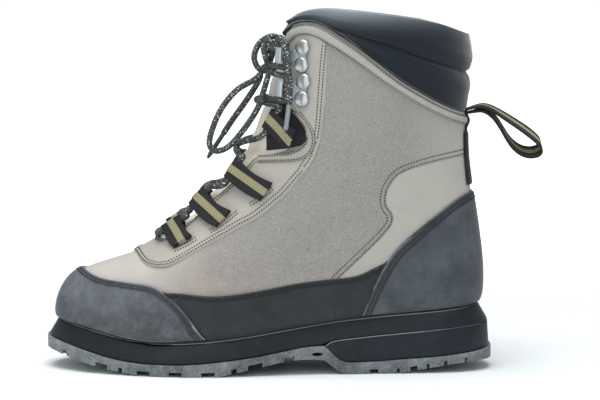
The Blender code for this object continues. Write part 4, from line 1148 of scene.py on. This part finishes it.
for node, finish, bevel, slot in (("midsole", midsole_black, .0008, "midsole_black"),
                                  ("heel_wedge", wedge_black, .0006, "wedge_black"),
                                  ("outsole", outsole_grey, .0004, "outsole_rubber")):
    piece = start_from(node, node + "_skin")
    if node != "outsole":
        lines = [[p for p, _ in chain] for chain in rims(piece, lambda p, inward: inward.z < -.4)]
        for i, line in enumerate(lines):
            line = [p + away(p) * .0005 + Vector((0, 0, .0004))
                    for p in resampled(softened(line, 2), .004)]
            flash, _ = tube(f"{node}_line_{i + 1}", line, .00036, sides=6, steps=3)
            dress(flash, mould_line)
    round_off(piece, bevel, 0, angle=30)
    if node == "outsole":  # the hole in its waist, on both sides
        x, z = seen(317.5, 354)
        for way in (-1, 1):
            bpy.ops.mesh.primitive_cylinder_add(vertices=40, radius=1, depth=1,
                                                location=(x, way * .0420, z + .0006),
                                                rotation=(math.radians(90), 0, 0))
            cutter = bpy.context.object
            cutter.scale = (.0038, .0013, .030)
            apply(piece, "BOOLEAN", object=cutter, operation="DIFFERENCE", solver="EXACT")
            bpy.data.objects.remove(cutter)
    only(piece)
    bpy.ops.object.shade_smooth_by_angle(angle=math.radians(40))
    dress(piece, finish, slot, (node,))


# Webbing loops, hooks and pull loop.

def tape_map(piece, along, across):
    """Notes how far each point lies along and across its tape."""
    note(piece, "along", along)
    note(piece, "across", across)


for side in SIDES:
    for level in range(1, 5):
        node = f"loop_{side}_{level}"
        piece = rounded(node, "_tape", .0004, 2)
        places = points_of(piece)
        if level == 4:  # shorter than its solid, at both ends
            x = places[:, 0]
            front = (x.max() - x) / np.ptp(x)
            places += np.outer(front, (.0062, math.copysign(.0012, places[0, 1]), 0))
            places += np.outer((1 - front) ** 2, (-.0034, 0, .0028))
            move_points(piece, places)
        places -= places.mean(0)
        along, across, _ = np.linalg.svd(places, full_matrices=False)[2]
        tape_map(piece, places @ along, places @ across)
        dress(piece, tape_khaki, "webbing", (node,))
    for level in (1, 2):
        node = f"hook_{side}_{level}"
        piece = rounded(node, "_plate", .0003, 1, angle=30)
        places = points_of(piece)
        x, _, z = places.T
        curl = gently((-.0512 - x) / .0025)
        z += (z - z[curl > .5].mean()) * .45 * curl
        move_points(piece, places - np.outer(curl, (.0030, 0, 0)))
        dress(piece, hook_metal, "hook_metal", (node,))
    for level in range(1, 5):
        node = f"rivet_{side}_{level}"
        places = points_of(frame["nodes"][node])
        middle = places.mean(0)
        places = (places - middle) * (1.33, 1.2, 1.33)
        axes = np.linalg.svd(places)[2]
        out = axes[2] * math.copysign(1, axes[2] @ np.array(away(Vector(middle))))
        low, high = (places @ out).min(), (places @ out).max()
        radius = np.linalg.norm(places - np.outer(places @ out, out), axis=1).max()
        bpy.ops.mesh.primitive_uv_sphere_add(segments=28, ring_count=16, radius=1)
        bpy.ops.object.shade_smooth()
        piece = bpy.context.object
        piece.name = node + "_dome"
        ball = points_of(piece)
        up, skirt = ball[:, 2], .22
        rise = low + (high - low) * (skirt + up * np.where(up > 0, 1 - skirt, skirt))
        move_points(piece, middle + (.0020, 0, 0) + np.outer(rise, out)
                    + ball[:, :1] * radius * axes[0] + ball[:, 1:2] * radius * axes[1])
        dress(piece, rivet_metal, "rivet_metal", (node,))

pull = rounded("pull_loop", "_tape", .0004, 2)
places = points_of(pull)
tape_map(pull, places[:, 0], places[:, 1])
dress(pull, tape_khaki, "pull_webbing", ("pull_loop",))


# The dark patch that the pull loop is sewn to: a grid dropped on the boot from behind.
PATCH_WIDE, PATCH_HIGH, PATCH_MIDDLE = .0165, .0240, .1700
bpy.ops.mesh.primitive_grid_add(x_subdivisions=12, y_subdivisions=16, size=1)
patch = bpy.context.object
patch.name = patch.data.name = "pull_anchor"
surfaces = [surface_of(piece) for piece in (binding, upper, cuff)]
for vertex in patch.data.vertices:
    y, z = vertex.co.x * PATCH_WIDE, PATCH_MIDDLE + vertex.co.y * PATCH_HIGH
    hits = [from_behind(surface, y, z) for surface in surfaces]
    vertex.co = max(hit.x for hit in hits if hit) + .0003, y, z
places = points_of(patch)
tape_map(patch, places[:, 2], places[:, 1])
apply(patch, "SMOOTH", iterations=4)
apply(patch, "SOLIDIFY", thickness=.0011, offset=1)
round_off(patch, .0004, 1)
dress(patch, backstay_tape, "backstay_web")


# Laces.

def mirrored(points):
    return [(x, -y, z) for x, y, z in points]


def metres(points):
    """Points that are written in tenths of a millimetre."""
    return [[c / 10000 for c in p] for p in points]


LACE_A = (
    (-1414, 230, 955), (-1426, 177, 940), (-1436, 113, 943), (-1440, 4, 944), (-1436, -105, 943),
    (-1426, -170, 940), (-1414, -226, 954), (-1381, -227, 976), (-1256, -231, 1055),
    (-1222, -232, 1076), (-1244, -164, 1077), (-1268, -103, 1078), (-1278, -10, 1080),
    (-1265, 93, 1083), (-1239, 154, 1087), (-1212, 224, 1108), (-1186, 220, 1138),
    (-1088, 205, 1248), (-1061, 201, 1277), (-1074, 138, 1266), (-1094, 63, 1268),
    (-1092, -59, 1271), (-1060, -152, 1275), (-1013, -217, 1279), (-960, -292, 1299),
    (-938, -289, 1332), (-855, -276, 1454), (-833, -273, 1487), (-858, -197, 1495),
    (-885, -115, 1521), (-880, 15, 1554), (-828, 134, 1585), (-740, 214, 1608), (-693, 298, 1643),
    (-671, 305, 1676), (-595, 322, 1798), (-580, 324, 1831), (-668, 199, 1851), (-733, 106, 1864),
    (-743, -41, 1875), (-701, -167, 1881), (-634, -253, 1883), (-544, -364, 1873),
    (-541, -363, 1913), (-535, -359, 1992), (-531, -357, 2032), (-602, -250, 2052),
    (-664, -160, 2071), (-698, -29, 2090), (-678, 118, 2102), (-625, 213, 2106),
    (-545, 335, 2103), (-542, 335, 2143), (-537, 333, 2223), (-534, 332, 2263), (-625, 183, 2246),
    (-664, 81, 2231), (-666, -13, 2218), (-655, -90, 2205))
LACE_B = (
    (-1414, 230, 955), (-1380, 231, 976), (-1255, 234, 1054), (-1221, 234, 1076),
    (-1244, 166, 1077), (-1268, 105, 1078), (-1278, 13, 1080), (-1266, -90, 1083),
    (-1239, -152, 1087), (-1213, -223, 1109), (-1187, -219, 1138), (-1088, -204, 1247),
    (-1061, -200, 1277), (-1074, -138, 1266), (-1094, -62, 1268), (-1092, 59, 1271),
    (-1060, 152, 1275), (-1013, 216, 1279), (-959, 290, 1297), (-937, 288, 1331),
    (-856, 277, 1454), (-834, 274, 1488), (-858, 197, 1495), (-885, 115, 1521), (-883, -15, 1554),
    *mirrored(LACE_A[31:42]), (-545, 365, 1873), (-541, 363, 1913), (-534, 359, 1993),
    *mirrored(LACE_A[45:55]), (-581, -244, 2239), (-614, -205, 2223), (-636, -173, 2210))
for name, line in (("lace_first", LACE_A), ("lace_second", LACE_B)):
    piece, _ = tube(name, metres(line), LACE_R)
    dress(piece, lace_braid, "lace_cord", ("lace",))

KNOT = Vector((-.0660, -.0155, .2195))
turns = [KNOT + Vector((.0026 * math.cos(a) + .0010 * math.sin(2 * a),
                        .0030 * math.sin(a * 1.5), .0088 * math.sin(a)))
         for a in (k * math.pi / 6 for k in range(22))]
knot, _ = tube("knot_turns", turns, LACE_R * 1.02)
dress(knot, lace_braid, "end_cord", ("knot",))

BOW = {
    "bow_loop_large": (
        (-711, -200, 2060), (-755, -210, 2015), (-880, -210, 1940), (-986, -210, 1810),
        (-1048, -215, 1670), (-1067, -220, 1580), (-1045, -225, 1530), (-995, -225, 1525),
        (-927, -230, 1560), (-855, -240, 1640), (-786, -260, 1733), (-727, -275, 1832),
        (-693, -280, 1933), (-668, -270, 2020), (-655, -250, 2065)),
    "bow_loop_small": (
        (-600, -150, 2250), (-602, -150, 2305), (-660, -145, 2306), (-722, -140, 2262),
        (-753, -140, 2203), (-757, -140, 2147), (-730, -140, 2092), (-688, -145, 2072),
        (-655, -150, 2100)),
    "lace_end_front": (
        (-711, -110, 2060), (-736, -110, 1990), (-824, -110, 1855), (-917, -110, 1725),
        (-995, -110, 1605), (-1048, -110, 1525), (-1086, -110, 1465)),
    "lace_end_lateral": (
        (-602, -275, 2270), (-574, -400, 2303), (-546, -480, 2245), (-521, -500, 2100),
        (-512, -500, 1975), (-515, -500, 1875), (-524, -500, 1793), (-543, -500, 1650)),
}
TIP_LENGTH = .0200


def last_stretch(line, length):
    """The end of a line, at least as long as asked."""
    done = 0
    for i in range(len(line) - 1, 0, -1):
        done += (line[i] - line[i - 1]).length
        if done >= length:
            return line[i - 1:]
    return line


for name, points in BOW.items():
    bound = TIP_LENGTH if name.startswith("lace_end") else 0
    piece, line = tube(name + "_cord", metres(points), LACE_R, narrow=bound)
    dress(piece, lace_braid, "end_cord", (name,))
    length = sum((b - a).length for a, b in zip(line, line[1:]))
    with_pieces = []
    if bound:
        stretch = last_stretch(line, bound)
        tip, _ = tube(name + "_tip", [stretch[0], *stretch[1:-1:3], stretch[-1]], LACE_R * .78,
                      steps=2)
        dress(tip, tip_clear if name == "lace_end_lateral" else tip_dark)
        with_pieces = [tip]
    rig.cord(piece, exit=line[0], length=length, diameter=2 * LACE_R,
            far_end="fitting" if with_pieces else "object", stiffness="limp", lay="hanging",
            path=line, with_pieces=with_pieces)


# Floor and light.

bpy.ops.mesh.primitive_plane_add(size=30, location=(0, 0, 0))
floor = bpy.context.object
floor.name = "floor"
PAPER_WHITE = (.97, .985, 1, 1)
paper = Finish("floor_paper", .9)
paper.set("Base Color", (.840, .885, .892, 1))
from_boot = paper.put("ShaderNodeVectorMath", {0: paper.place}, operation="LENGTH")
far_off = paper.put("ShaderNodeMapRange", {0: from_boot.outputs["Value"], 1: .30, 2: 1.3},
                    interpolation_type="SMOOTHSTEP")
paper.set("Emission Color", PAPER_WHITE)
paper.set("Emission Strength", far_off.outputs[0])
floor.data.materials.append(paper.material)
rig.stage(floor)

world = bpy.data.worlds.new("studio")
bpy.context.scene.world = world
world.use_nodes = True
sky = Nodes(world.node_tree)
to_camera = sky.put("ShaderNodeLightPath").outputs["Is Camera Ray"]
backdrop = world.node_tree.nodes["Background"].inputs
sky.fill(backdrop[0], PAPER_WHITE)
sky.fill(backdrop[1], sky.ramp(to_camera, 0, 1, .50, 1.05))


def lamp(name, place, size, power, aim=(-.04, 0, .1)):
    """A soft square light that faces the boot."""
    bpy.ops.object.light_add(type="AREA", location=place)
    made = bpy.context.object
    made.name = name
    made.data.energy, made.data.size = power, size
    made.rotation_euler = (Vector(aim) - Vector(place)).to_track_quat("-Z", "Y").to_euler()


lamp("top", (-.15, -.25, 1.5), 1.3, 24)
lamp("front", (-.5, -1.6, .7), 1.2, 7)

boot_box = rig.bounds()
with open("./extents.json", "w") as file:
    json.dump({"cad": [list(c) for c in cad_box], "visual": [list(c) for c in boot_box]}, file)
